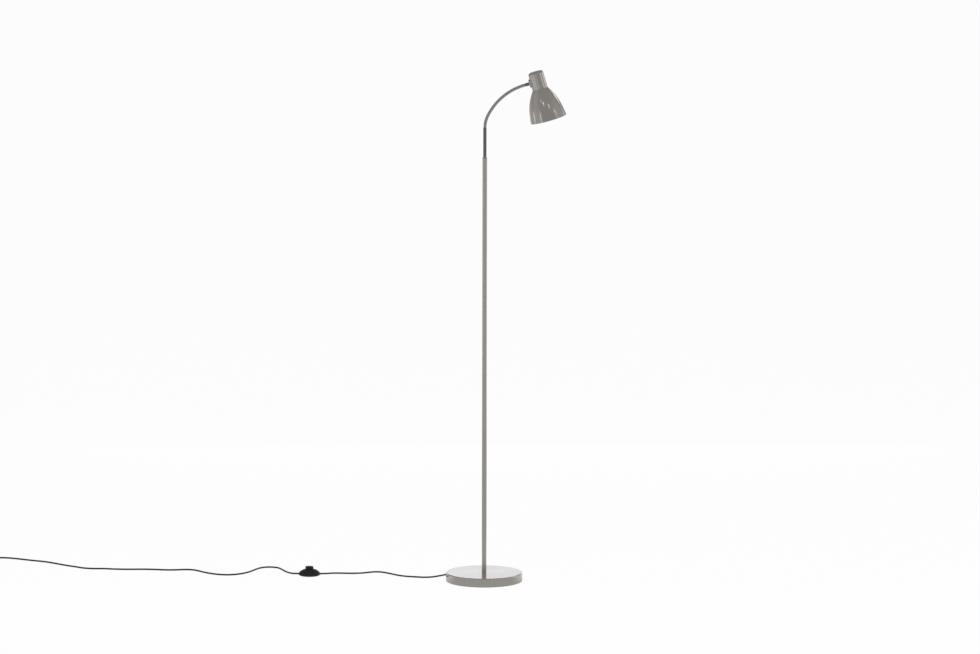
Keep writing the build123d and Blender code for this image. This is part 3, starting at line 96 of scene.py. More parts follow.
# ---- node trees
class Graph:
    """Adds nodes to a shader or geometry tree and joins their sockets."""

    def __init__(self, tree: NodeTree) -> None:
        """Start on a tree that already exists."""
        self.tree = tree

    def node(self, kind: str, inputs: dict | None = None, **settings: object) -> Node:
        """Add one node.

        Args:
            kind: Blender's name for the node's type.
            inputs: Value or socket for each named or numbered input.
            settings: Properties of the node itself.

        Returns:
            The new node.
        """
        made = self.tree.nodes.new(kind)
        for name, value in settings.items():
            setattr(made, name, value)
        for key, value in (inputs or {}).items():
            self.feed(made.inputs[key], value)
        return made

    def feed(self, target: NodeSocket, value: object) -> None:
        """Join a socket to the target, or set the target's own value.

        Args:
            target: The input socket.
            value: A socket to join to it, or a plain value.
        """
        if isinstance(value, NodeSocket):
            self.tree.links.new(value, target)
        else:
            target.default_value = value

    def maths(self, operation: str, *values: object) -> NodeSocket:
        """Add a Math node and return its result."""
        return self.node("ShaderNodeMath", dict(enumerate(values)), operation=operation).outputs[0]

    def vector(self, operation: str, *values: object) -> Node:
        """Add a Vector Math node."""
        return self.node("ShaderNodeVectorMath", dict(enumerate(values)), operation=operation)

    def noise(self, place: object, scale: object, **more: float) -> NodeSocket:
        """Add a noise texture and return its value."""
        return self.node("ShaderNodeTexNoise", {"Vector": place, "Scale": scale, **more}).outputs[0]

    def ramp(self, value: object, edges: Pair, ends: tuple = (0.0, 1.0)) -> NodeSocket:
        """Map a value from between two edges to between two ends, clamped, and return it."""
        return self.node("ShaderNodeMapRange", dict(enumerate((value, *edges, *ends)))).outputs[0]

    def blend(self, factor: object, first: object, second: object) -> NodeSocket:
        """Mix two colours and return the result."""
        inputs = {0: factor, 6: first, 7: second}
        return self.node("ShaderNodeMix", inputs, data_type="RGBA").outputs[2]

    def off_axis(
        self, place: object, centre: object, axis: object
    ) -> tuple[NodeSocket, NodeSocket]:
        """Measure a place from an axis.

        Args:
            place: The place.
            centre: A point on the axis.
            axis: The axis, of unit length.

        Returns:
            How far along the axis the place is, and the arm that points to it from the axis.
        """
        arm = self.vector("SUBTRACT", place, centre).outputs[0]
        along = self.vector("DOT_PRODUCT", arm, axis).outputs["Value"]
        foot = self.node("ShaderNodeVectorMath", {0: axis, "Scale": along}, operation="SCALE")
        return along, self.vector("SUBTRACT", arm, foot.outputs[0]).outputs[0]


def rgba(colour: Colour) -> tuple[float, float, float, float]:
    """A colour with full alpha."""
    return (*colour, 1.0)


def grey(value: float) -> Colour:
    """A neutral grey."""
    return (value, value, value)


# what each named socket holds, where it isn't a plain number
SOCKETS = {name: "Vector" for name in ("Vector", "Centre", "Axis")}
SOCKETS |= {"Material": "Material", "Geometry": "Geometry"}


def new_tree(
    name: str, kind: str, inputs: Iterable[str], outputs: Iterable[str]
) -> tuple[Graph, Sockets, Sockets]:
    """Start a node tree with named sockets.

    Args:
        name: The tree's name.
        kind: Blender's name for the tree's type.
        inputs: The inputs' names.
        outputs: The outputs' names.

    Returns:
        The tree's graph, the sockets that bring values in and the sockets that take them out.
    """
    tree = bpy.data.node_groups.new(name, kind)
    for way, labels in (("INPUT", inputs), ("OUTPUT", outputs)):
        for label in labels:
            socket_type = f"NodeSocket{SOCKETS.get(label, 'Float')}"
            tree.interface.new_socket(label, in_out=way, socket_type=socket_type)
    graph = Graph(tree)
    return graph, graph.node("NodeGroupInput").outputs, graph.node("NodeGroupOutput").inputs


# ---- shared shader groups
STREAK_SCALE = 0.12  # broad streaks, against the fine lines
STREAK_EDGES: Pair = (0.3, 0.7)
PATCH_EDGES: Pair = (0.38, 0.66)
SPECK_SCALE = 9.0  # specks, against the patches they break up
SPECK_EDGES: Pair = (0.35, 0.7)
SPECK_LEAST = 0.6
LEVEL_EDGES: Pair = (0.35, 1.0)  # how far up a face looks before dust stays on it
DRIFT_EDGES: Pair = (0.4, 0.75)
DRIFT_LEAST = 0.2
GRAIN_CLOUD_SCALE = 0.4
GRAIN_CELL_SHARE = 0.5


@functools.cache
def turned_lines() -> NodeTree:
    """Fine lines left by a lathe: they run round an axis, whatever the turned form is.

    Returns:
        The shader group.
    """
    inputs = ("Vector", "Centre", "Axis", "Scale")
    graph, given, result = new_tree("turned_lines", SHADER, inputs, ("Height", "Streak"))
    along, across = graph.off_axis(given["Vector"], given["Centre"], given["Axis"])
    radius = graph.vector("LENGTH", across).outputs["Value"]
    place = graph.node("ShaderNodeCombineXYZ", {0: along, 1: radius}).outputs[0]
    broad = graph.noise(place, graph.maths("MULTIPLY", given["Scale"], STREAK_SCALE))
    graph.feed(result["Height"], graph.noise(place, given["Scale"], Detail=3.0))
    graph.feed(result["Streak"], graph.ramp(broad, STREAK_EDGES))
    return graph.tree


@functools.cache
def handling_marks() -> NodeTree:
    """Soft patches where hands and cloths have gone over a surface.

    Returns:
        The shader group.
    """
    inputs = ("Vector", "Scale", "Clean", "Worn")
    graph, given, result = new_tree("handling_marks", SHADER, inputs, ("Value", "Mask"))
    cloud = graph.noise(given["Vector"], given["Scale"], Detail=4.0, Roughness=0.6)
    speck = graph.noise(given["Vector"], graph.maths("MULTIPLY", given["Scale"], SPECK_SCALE))
    grit = graph.ramp(speck, SPECK_EDGES, (SPECK_LEAST, 1.0))
    mask = graph.maths("MULTIPLY", graph.ramp(cloud, PATCH_EDGES), grit)
    mixed = graph.node("ShaderNodeMix", {0: mask, 2: given["Clean"], 3: given["Worn"]})
    graph.feed(result["Value"], mixed.outputs[0])
    graph.feed(result["Mask"], mask)
    return graph.tree


@functools.cache
def settled_dust() -> NodeTree:
    """Thin dust on faces that look up.

    Returns:
        The shader group.
    """
    inputs = ("Vector", "Amount", "Scale")
    graph, given, result = new_tree("settled_dust", SHADER, inputs, ("Mask",))
    normal = graph.node("ShaderNodeNewGeometry").outputs["Normal"]
    facing = graph.node("ShaderNodeSeparateXYZ", {0: normal}).outputs[2]
    cloud = graph.noise(given["Vector"], given["Scale"], Detail=6.0, Roughness=0.7)
    drift = graph.ramp(cloud, DRIFT_EDGES, (DRIFT_LEAST, 1.0))
    lying = graph.maths("MULTIPLY", graph.ramp(facing, LEVEL_EDGES), drift)
    graph.feed(result["Mask"], graph.maths("MULTIPLY", lying, given["Amount"]))
    return graph.tree


@functools.cache
def moulded_grain() -> NodeTree:
    """The fine spark-eroded grain of a moulded or cast surface.

    Returns:
        The shader group.
    """
    graph, given, result = new_tree("moulded_grain", SHADER, ("Vector", "Scale"), ("Height",))
    sizes = {"Vector": given["Vector"], "Scale": given["Scale"]}
    cells = graph.node("ShaderNodeTexVoronoi", sizes).outputs[0]
    cloud = graph.noise(given["Vector"], graph.maths("MULTIPLY", given["Scale"], GRAIN_CLOUD_SCALE))
    height = graph.maths("MULTIPLY_ADD", cells, GRAIN_CELL_SHARE, cloud)
    graph.feed(result["Height"], height)
    return graph.tree


# ---- finishes
METAL_DUST: Colour = (0.55, 0.54, 0.52)
PLASTIC_DUST: Colour = (0.30, 0.29, 0.28)
GLASS_DUST: Colour = (0.6, 0.58, 0.54)
DUST_ROUGHNESS = 0.3  # what dust adds to a metal's roughness
LINING_ROUGHNESS = 0.42
INNER_EDGES: Pair = (-0.15, -0.35)  # how far a face looks at the axis as the lining sets in


class Surface(Graph):
    """One material: its graph, object coordinates and Principled BSDF."""

    def __init__(self, name: str) -> None:
        """Make the material with an untouched Principled BSDF.

        Args:
            name: The material's name.
        """
        self.material = bpy.data.materials.new(name)
        self.material.use_nodes = True
        super().__init__(self.material.node_tree)
        self.bsdf = self.tree.nodes["Principled BSDF"]
        self.place = self.node("ShaderNodeTexCoord").outputs["Object"]

    def use(self, tree: NodeTree, **inputs: object) -> Sockets:
        """Place a shared group, fed with object coordinates and its own values.

        Args:
            tree: The shader group.
            inputs: Value or socket for each of its other inputs.

        Returns:
            The group's output sockets.
        """
        made = self.node("ShaderNodeGroup", node_tree=tree)
        self.feed(made.inputs["Vector"], self.place)
        for name, value in inputs.items():
            self.feed(made.inputs[name], value)
        return made.outputs

    def set(self, **values: object) -> None:
        """Set or join the BSDF's inputs, with underscores for the spaces in their names."""
        for name, value in values.items():
            self.feed(self.bsdf.inputs[name.replace("_", " ")], value)

    def relief(self, height: NodeSocket, depth: float, strength: float = 0.4) -> None:
        """Bump the surface by a height map, with its depth in metres."""
        sizes = {"Strength": strength, "Distance": depth, "Height": height}
        self.set(Normal=self.node("ShaderNodeBump", sizes).outputs[0])


@dataclass(frozen=True)
class TurnedMetal:
    """Plated or bare metal that was finished on a lathe.

    Attributes:
        shadow: Reflectance in the darker lines.
        roughness: Roughness of clean and of handled metal.
        lines: Scale of the lines, per metre.
        depth: Depth of the lines in metres.
        lining: Colour of the lacquer on faces that look at the axis, or None.
    """

    name: str
    colour: Colour
    shadow: Colour
    roughness: Pair = (0.2, 0.3)
    centre: Point = (0.0, 0.0, 0.0)
    axis: Point = (0.0, 0.0, 1.0)
    lines: float = 2600.0
    depth: float = 0.00002
    dust: float = 0.0
    lining: Colour | None = None

    def material(self) -> Material:
        """Build the material.

        Returns:
            The material.
        """
        surface = Surface(self.name)
        lines = surface.use(turned_lines(), Centre=self.centre, Axis=self.axis, Scale=self.lines)
        clean, worn = self.roughness
        roughness = surface.use(handling_marks(), Scale=14.0, Clean=clean, Worn=worn)["Value"]
        colour = surface.blend(lines["Streak"], rgba(self.colour), rgba(self.shadow))
        metallic: object = 1.0
        if self.dust:
            dust = surface.use(settled_dust(), Amount=self.dust, Scale=60.0)["Mask"]
            colour = surface.blend(dust, colour, rgba(METAL_DUST))
            roughness = surface.maths("MULTIPLY_ADD", dust, DUST_ROUGHNESS, roughness)
            metallic = surface.maths("SUBTRACT", 1.0, dust)
        if self.lining is not None:
            inside = self.inner_faces(surface)
            colour = surface.blend(inside, colour, rgba(self.lining))
            metallic = surface.maths("MULTIPLY", metallic, surface.maths("SUBTRACT", 1.0, inside))
            roughness = surface.ramp(inside, (0.0, 1.0), (roughness, LINING_ROUGHNESS))
        surface.set(Base_Color=colour, Metallic=metallic, Roughness=roughness)
        surface.relief(lines["Height"], self.depth)
        return surface.material

    def inner_faces(self, surface: Surface) -> NodeSocket:
        """Find the faces that look at the axis.

        Args:
            surface: The material that the nodes go into.

        Returns:
            Their mask.
        """
        arm = surface.off_axis(surface.place, self.centre, self.axis)[1]
        out = surface.vector("NORMALIZE", arm).outputs[0]
        normal = surface.node("ShaderNodeNewGeometry").outputs["Normal"]
        facing = surface.vector("DOT_PRODUCT", out, normal).outputs["Value"]
        return surface.ramp(facing, INNER_EDGES)


@dataclass(frozen=True)
class Moulding:
    """Moulded plastic, rubber or foam.

    Attributes:
        faded: Colour where it is handled or dusty.
        roughness: Roughness of clean and of handled material.
        grain: Scale of the mould's grain, per metre.
        shine: The shader's specular level.
    """

    name: str
    colour: Colour
    faded: Colour
    roughness: Pair = (0.35, 0.5)
    grain: float = 2200.0
    depth: float = 0.00003
    dust: float = 0.15
    shine: float = 0.5

    def material(self) -> Material:
        """Build the material.

        Returns:
            The material.
        """
        surface = Surface(self.name)
        grain = surface.use(moulded_grain(), Scale=self.grain)
        clean, handled = self.roughness
        marks = surface.use(handling_marks(), Scale=40.0, Clean=clean, Worn=handled)
        dust = surface.use(settled_dust(), Amount=self.dust, Scale=120.0)["Mask"]
        worn = surface.blend(marks["Mask"], rgba(self.colour), rgba(self.faded))
        colour = surface.blend(dust, worn, rgba(PLASTIC_DUST))
        surface.set(Base_Color=colour, Roughness=marks["Value"], Specular_IOR_Level=self.shine)
        surface.relief(grain["Height"], self.depth)
        return surface.material


@dataclass(frozen=True)
class CastIron:
    """The rough black skin of a sand casting."""

    name: str = "sand_cast_iron"
    colour: Colour = (0.035, 0.034, 0.034)
    scale: Colour = (0.10, 0.075, 0.06)
    depth: float = 0.0003

    def material(self) -> Material:
        """Build the material.

        Returns:
            The material.
        """
        surface = Surface(self.name)
        grain = surface.use(moulded_grain(), Scale=700.0)
        rust = surface.use(handling_marks(), Scale=30.0, Clean=0.65, Worn=0.9)
        colour = surface.blend(rust["Mask"], rgba(self.colour), rgba(self.scale))
        surface.set(Base_Color=colour, Roughness=rust["Value"], Metallic=0.3)
        surface.relief(grain["Height"], self.depth, 0.8)
        return surface.material


@dataclass(frozen=True)
class OpalGlass:
    """Glass with a milk-white coat inside, as on a soft-light globe."""

    name: str = "opal_glass"
    colour: Colour = (0.86, 0.85, 0.80)
    haze: Colour = (0.74, 0.72, 0.66)
    spread: Colour = (0.01, 0.009, 0.008)

    def material(self) -> Material:
        """Build the material.

        Returns:
            The material.
        """
        surface = Surface(self.name)
        marks = surface.use(handling_marks(), Scale=35.0, Clean=0.08, Worn=0.22)
        dust = surface.use(settled_dust(), Amount=0.2, Scale=90.0)["Mask"]
        smudged = surface.blend(marks["Mask"], rgba(self.colour), rgba(self.haze))
        colour = surface.blend(dust, smudged, rgba(GLASS_DUST))
        surface.set(Base_Color=colour, Roughness=marks["Value"])
        surface.set(Coat_Weight=0.6, Coat_Roughness=0.04)
        surface.set(Subsurface_Weight=0.25, Subsurface_Radius=self.spread)
        return surface.material


Finish = TurnedMetal | Moulding | CastIron | OpalGlass


# ---- small helpers for pieces
def shown(name: str, data: bpy.types.ID) -> Object:
    """Put new data in the scene as an object.

    Args:
        name: The object's name.
        data: Its mesh, curve, lamp or camera.

    Returns:
        The new object.
    """
    made = bpy.data.objects.new(name, data)
    bpy.context.scene.collection.objects.link(made)
    return made


def placed(name: str, mesh: Mesh | bpy.types.Curve, material: Material) -> Object:
    """Make an object at the origin from a finished mesh or curve.

    Args:
        name: The object's name.
        mesh: Its mesh or curve, in place.
        material: Its only material.

    Returns:
        The new object.
    """
    mesh.materials.clear()
    mesh.materials.append(material)
    LOG.info("placing %s", name)
    return shown(name, mesh)


def axes_at(origin: Vector, along: Vector, across: Vector) -> Matrix:
    """Set up a frame at a point.

    Args:
        origin: The point.
        along: The way of its local +Z.
        across: The way that its local +X leans to.

    Returns:
        The matrix from that frame to the lamp's.
    """
    up = along.normalized()
    right = (across - up * across.dot(up)).normalized()
    rows = Matrix((right, up.cross(right), up)).transposed().to_4x4()
    return Matrix.Translation(origin) @ rows


def wound_wire(
    graph: Graph,
    length: object,
    turns: object,
    coil_radius: object,
    wire_radius: object,
    sides: int,
) -> NodeSocket:
    """Add the nodes of a wire wound up +Z from the origin.

    Args:
        graph: The Geometry Nodes tree that the nodes go into.
        length: From the wire's first centre to its last, along the axis.
        turns: How many turns it makes.
        coil_radius: From the axis to the wire's centre.
        wire_radius: Half the wire's thickness.
        sides: Flats round the wire.

    Returns:
        The wire's mesh.
    """
    radii = {"Start Radius": coil_radius, "End Radius": coil_radius}
    helix = graph.node(
        "GeometryNodeCurveSpiral",
        {"Resolution": 28, "Rotations": turns, "Height": length, **radii},
    )
    section = graph.node(
        "GeometryNodeCurvePrimitiveCircle", {"Resolution": sides, "Radius": wire_radius}
    )
    wire = graph.node(
        "GeometryNodeCurveToMesh",
        {"Curve": helix.outputs[0], "Profile Curve": section.outputs[0], "Fill Caps": True},
    )
    turned = {"Geometry": wire.outputs[0], "Rotation": (0.0, 0.0, math.pi / 2)}
    return graph.node("GeometryNodeTransform", turned).outputs[0]


def raised(graph: Graph, shape: Node, height: object) -> NodeSocket:
    """Add the nodes that lift a shape along +Z.

    Args:
        graph: The Geometry Nodes tree that the nodes go into.
        shape: The node that makes the shape.
        height: How far it goes up.

    Returns:
        The lifted shape.
    """
    way = graph.node("ShaderNodeCombineXYZ", {2: height}).outputs[0]
    lifted = {"Geometry": shape.outputs[0], "Translation": way}
    return graph.node("GeometryNodeTransform", lifted).outputs[0]


def close_tree(graph: Graph, given: Sockets, result: Sockets, *shapes: object) -> None:
    """Join the shapes, make them real and smooth, and give them the tree's material.

    Args:
        graph: The tree's graph.
        given: The sockets that bring values in.
        result: The sockets that take them out.
        shapes: The shapes' sockets.
    """
    joined = graph.node("GeometryNodeJoinGeometry")
    for shape in shapes:
        graph.feed(joined.inputs[0], shape)
    smooth = graph.node("GeometryNodeSetShadeSmooth", {0: joined.outputs[0]})
    real = graph.node("GeometryNodeRealizeInstances", {0: smooth.outputs[0]})
    painted = {"Geometry": real.outputs[0], "Material": given["Material"]}
    graph.feed(result[0], graph.node("GeometryNodeSetMaterial", painted).outputs[0])


def grown(tree: NodeTree, values: dict[str, object]) -> Mesh:
    """Run a Geometry Nodes tree once.

    Args:
        tree: The tree.
        values: A value for each of its named inputs.

    Returns:
        The plain mesh that it makes.
    """
    host = shown("host", bpy.data.meshes.new("host"))
    modifier = host.modifiers.new("tree", "NODES")
    modifier.node_group = tree
    for socket in tree.interface.items_tree:
        if socket.in_out == "INPUT":
            modifier[socket.identifier] = values[socket.name]
    bpy.context.view_layer.update()
    graph = bpy.context.evaluated_depsgraph_get()
    mesh = bpy.data.meshes.new_from_object(host.evaluated_get(graph))
    host.modifiers.clear()
    bpy.data.objects.remove(host)
    return mesh


@dataclass
class Part:
    """One part of the lamp, which is dressed by itself.

    Attributes:
        frame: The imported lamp.
    """

    frame: dict

    def dress(self, finish: Finish, *nodes: str) -> Material:
        """Give carried-over CAD nodes one finish.

        Args:
            finish: The finish.
            nodes: Names of the nodes.

        Returns:
            The finish's material.
        """
        material = finish.material()
        for name in nodes:
            for slot in self.frame["nodes"][name].material_slots:
                slot.material = material
        return material


# ---- base and pole
NICKEL: tuple[Colour, Colour] = ((0.60, 0.58, 0.555), (0.565, 0.545, 0.52))


@dataclass
class StandParts(Part):
    """The base, the pole and what holds them together."""

    nickel: tuple[str, ...] = ("pole_lower", "pole_middle", "pole_upper", "pole_bush")
    zinc: tuple[str, ...] = ("base_stud", "base_washer", "base_nut", "pole_inserts", "joint_studs")

    def build(self) -> None:
        """Dress the stand's CAD nodes."""
        self.dress(TurnedMetal("satin_nickel", *NICKEL, (0.22, 0.28), dust=0.02), *self.nickel)
        self.dress(TurnedMetal("brushed_nickel", *NICKEL, (0.21, 0.24), dust=0.01), "base_cover")
        plate = TurnedMetal(
            "zinc_plate", (0.62, 0.62, 0.58), (0.5, 0.5, 0.44), (0.3, 0.45), lines=1200.0
        )
        self.dress(plate, *self.zinc)
        self.dress(CastIron(), "base_weight")
        foam = Moulding("foam_pad", grey(0.03), (0.06, 0.06, 0.058), (0.85, 0.95), 900.0, 0.0002)
        self.dress(foam, "floor_pad")


# ---- gooseneck
@dataclass
class Gooseneck(Part):
    """The wound sleeve over the chain of ball joints, one length of it on each link.

    Attributes:
        core_radius: The dark liner under the winding.
        core_share: How much of the link the liner covers, with its middle at core_middle.
        end_gap: How far the last link's winding stops short, to clear the head's ferrule.
    """

    winding_radius: float = 3.6 * MM
    wire_radius: float = 1.2 * MM
    core_radius: float = 3.9 * MM
    core_share: float = 0.86
    core_middle: float = 0.49
    ball_radius: float = 3.6 * MM
    turns: int = 5
    sides: int = 10
    links: int = 12
    end_gap: float = 1.3 * MM
    plated: TurnedMetal = TurnedMetal("dark_chrome", grey(0.60), grey(0.49), (0.14, 0.22))
    ferrule: TurnedMetal = TurnedMetal(
        "black_chrome", (0.23, 0.23, 0.235), (0.18, 0.18, 0.185), (0.1, 0.16)
    )

    def build(self) -> None:
        """Make and place the winding of every link, and dress the ferrules."""
        material = self.plated.material()
        self.dress(self.ferrule, "neck_ferrule", "head_ferrule")
        pivots = self.pivots()
        tree = self.winding_tree()
        for index in range(1, len(pivots)):
            piece = self.link_piece(tree, index, pivots, material)
            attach(piece, f"link_{index:02d}")
            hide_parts(f"neck_link_{index:02d}")

    def pivots(self) -> list[Vector]:
        """Find the neck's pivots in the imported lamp.

        Returns:
            The pivots, in order from the pole.
        """
        hinges = [joint for joint in self.frame["joints"] if joint["name"].startswith("neck_")]
        hinges.sort(key=lambda joint: joint["name"][-2:])
        return [Vector(joint["pos_m"]) for joint in hinges]

    def winding_tree(self) -> NodeTree:
        """Build the tree of a helical wire over a liner, with a ball at the top end.

        Returns:
            The Geometry Nodes tree.
        """
        wound = ("Wound Length", "Turns", "Winding Radius", "Wire Radius")
        inputs = ("Length", *wound, "Core Radius", "Ball Radius", "Material")
        graph, given, result = new_tree("gooseneck_winding", GEOMETRY, inputs, ("Geometry",))
        length = given["Length"]
        wire = wound_wire(graph, *(given[name] for name in wound), self.sides)
        covered = graph.maths("MULTIPLY", length, self.core_share)
        sizes = {"Vertices": 36, "Radius": given["Core Radius"], "Depth": covered}
        core = graph.node("GeometryNodeMeshCylinder", sizes)
        sizes = {"Segments": 32, "Rings": 16, "Radius": given["Ball Radius"]}
        ball = graph.node("GeometryNodeMeshUVSphere", sizes)
        seated = raised(graph, core, graph.maths("MULTIPLY", length, self.core_middle))
        lifted = raised(graph, ball, length)
        close_tree(graph, given, result, wire, seated, lifted)
        return graph.tree

    def link_piece(
        self, tree: NodeTree, index: int, pivots: Sequence[Vector], material: Material
    ) -> Object:
        """Make one link's winding as a plain mesh in its place.

        Args:
            tree: The winding's Geometry Nodes tree.
            index: The link's number from the pole.
            pivots: All the neck's pivots.
            material: The winding's finish.

        Returns:
            The finished object, at the origin.
        """
        foot, top = pivots[index - 1], pivots[index]
        length = (top - foot).length
        values = {
            "Length": length,
            "Wound Length": length - (self.end_gap if index == self.links else 0.0),
            "Turns": float(self.turns),
            "Winding Radius": self.winding_radius,
            "Wire Radius": self.wire_radius,
            "Core Radius": self.core_radius,
            "Ball Radius": self.ball_radius,
            "Material": material,
        }
        mesh = grown(tree, values)
        mesh.transform(axes_at(foot, top - foot, Vector((1.0, 0.0, 0.0))))
        return placed(f"gooseneck_winding_{index:02d}", mesh, material)


# ---- head
@dataclass
class LampHead(Part):
    """The shade, its cap, the lamp holder and the bulb.

    Attributes:
        tilt: How far the shade's axis leans from plumb, in degrees.
        mouth_offset: From the last pivot to the shade's axis, across it.
        entry_height: From the shade's mouth up to the neck's axis.
        thread_reach: Where the thread begins and ends, above the shade's mouth.
        thread_rings: Rows of points along it, with steps_round points in each.
        thread_fade: Rows over which it runs out at either end.
        tip: Radius and height of the insulator's and the contact's edges, in millimetres.
    """

    tilt: float = 15.8
    mouth_offset: float = 37.9 * MM
    entry_height: float = 112.3 * MM
    thread_pitch: float = 2.82 * MM
    thread_depth: float = 0.45 * MM
    thread_reach: Pair = (76.0 * MM, 91.5 * MM)
    thread_radius: float = 6.95 * MM
    thread_rings: int = 72
    thread_fade: int = 8
    steps_round: int = 48
    # fmt: off
    tip: tuple[Pair, ...] = (
        (6.4, 92.3), (5.2, 93.2), (4.6, 94.4), (3.9, 94.6), (3.9, 96.4), (3.0, 97.0),
    )
    # fmt: on
    lining: Colour = (0.80, 0.80, 0.77)

    def build(self) -> None:
        """Dress the head and make the bulb's threaded cap."""
        lathe = self.lathe()
        shade = TurnedMetal(
            "nickel_shade", *NICKEL, (0.13, 0.19), dust=0.02, lining=self.lining, **lathe
        )
        cap = TurnedMetal("nickel_cap", *NICKEL, (0.15, 0.22), dust=0.03, **lathe)
        rosette = TurnedMetal("plate_chrome", (0.62, 0.62, 0.60), (0.5, 0.5, 0.48), (0.12, 0.2))
        zinc = TurnedMetal(
            "zinc_bracket", (0.60, 0.60, 0.56), (0.48, 0.48, 0.42), (0.3, 0.45), lines=900.0
        )
        brass = TurnedMetal("contact_brass", (0.72, 0.52, 0.24), (0.60, 0.42, 0.18), (0.2, 0.35))
        holder = Moulding(
            "phenolic_black", (0.018, 0.016, 0.015), (0.04, 0.037, 0.035), (0.3, 0.45)
        )
        self.dress(shade, "shade")
        self.dress(cap, "lamp_cap")
        self.dress(rosette, "rosette")
        self.dress(zinc, "saddle_washer", "entry_nut", "holder_bracket", "bracket_screw")
        self.dress(brass, "screw_shell")
        self.dress(holder, "lamp_holder", "shade_ring")
        self.dress(OpalGlass(), "bulb_globe")
        self.bulb_cap()

    def ways(self) -> tuple[Vector, Vector]:
        """The shade's axis, up to its cap, and the way across from the neck."""
        sine, cosine = math.sin(math.radians(self.tilt)), math.cos(math.radians(self.tilt))
        return Vector((-sine, 0.0, cosine)), Vector((cosine, 0.0, sine))

    def mouth(self) -> Vector:
        """Find the centre of the shade's mouth.

        Returns:
            The centre, in the lamp's frame.
        """
        hinges = [joint for joint in self.frame["joints"] if joint["child"] == "head"]
        axis, across = self.ways()
        pivot = Vector(hinges[0]["pos_m"])
        return pivot + across * self.mouth_offset - axis * self.entry_height

    def lathe(self) -> dict[str, Point]:
        """The axis that the head's round pieces were turned on, as a finish takes it."""
        return {"centre": tuple(self.mouth()), "axis": tuple(self.ways()[0])}

    def profile(self) -> list[Point]:
        """Lay out the rows of points round the bulb's cap, from the glass to the tip.

        Returns:
            Each row's radius, its height and how deep the thread is there.
        """
        low, high = self.thread_reach
        profile = []
        for ring in range(self.thread_rings + 1):
            height = low + (high - low) * ring / self.thread_rings
            fade = min(1.0, min(ring, self.thread_rings - ring) / self.thread_fade)
            profile.append((self.thread_radius, height, self.thread_depth * fade))
        return profile + [(radius * MM, height * MM, 0.0) for radius, height in self.tip]

    def bulb_cap(self) -> None:
        """Make the bulb's screw cap with its rolled thread, glass insulator and tip."""
        body = bmesh.new()
        rows = []
        for radius, height, depth in self.profile():
            row = []
            for step in range(self.steps_round):
                angle = 2 * math.pi * step / self.steps_round
                turns = (height - self.thread_reach[0]) / self.thread_pitch
                phase = 2 * math.pi * turns - angle
                reach = radius - depth * (0.5 - 0.5 * math.cos(phase))
                point = (reach * math.cos(angle), reach * math.sin(angle), height)
                row.append(body.verts.new(point))
            rows.append(row)
        for lower, upper in zip(rows, rows[1:]):
            for step in range(self.steps_round):
                after = (step + 1) % self.steps_round
                body.faces.new((lower[step], lower[after], upper[after], upper[step]))
        body.faces.new(list(reversed(rows[0])))
        body.faces.new(rows[-1])
        mesh = bpy.data.meshes.new("bulb_screw_cap")
        body.to_mesh(mesh)
        body.free()
        mesh.transform(axes_at(self.mouth(), *self.ways()))
        mesh.shade_smooth()
        metal = TurnedMetal(
            "rolled_nickel", (0.66, 0.63, 0.56), (0.5, 0.47, 0.4), (0.22, 0.35), **self.lathe()
        )
        piece = placed("bulb_screw_cap", mesh, metal.material())
        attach(piece, "head")
        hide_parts("bulb_base")


# ---- supply lead and foot switch
class Stretch(Enum):
    """The lead's two free stretches."""

    TO_SWITCH = "lead_to_switch"
    TO_PLUG = "lead_to_plug"


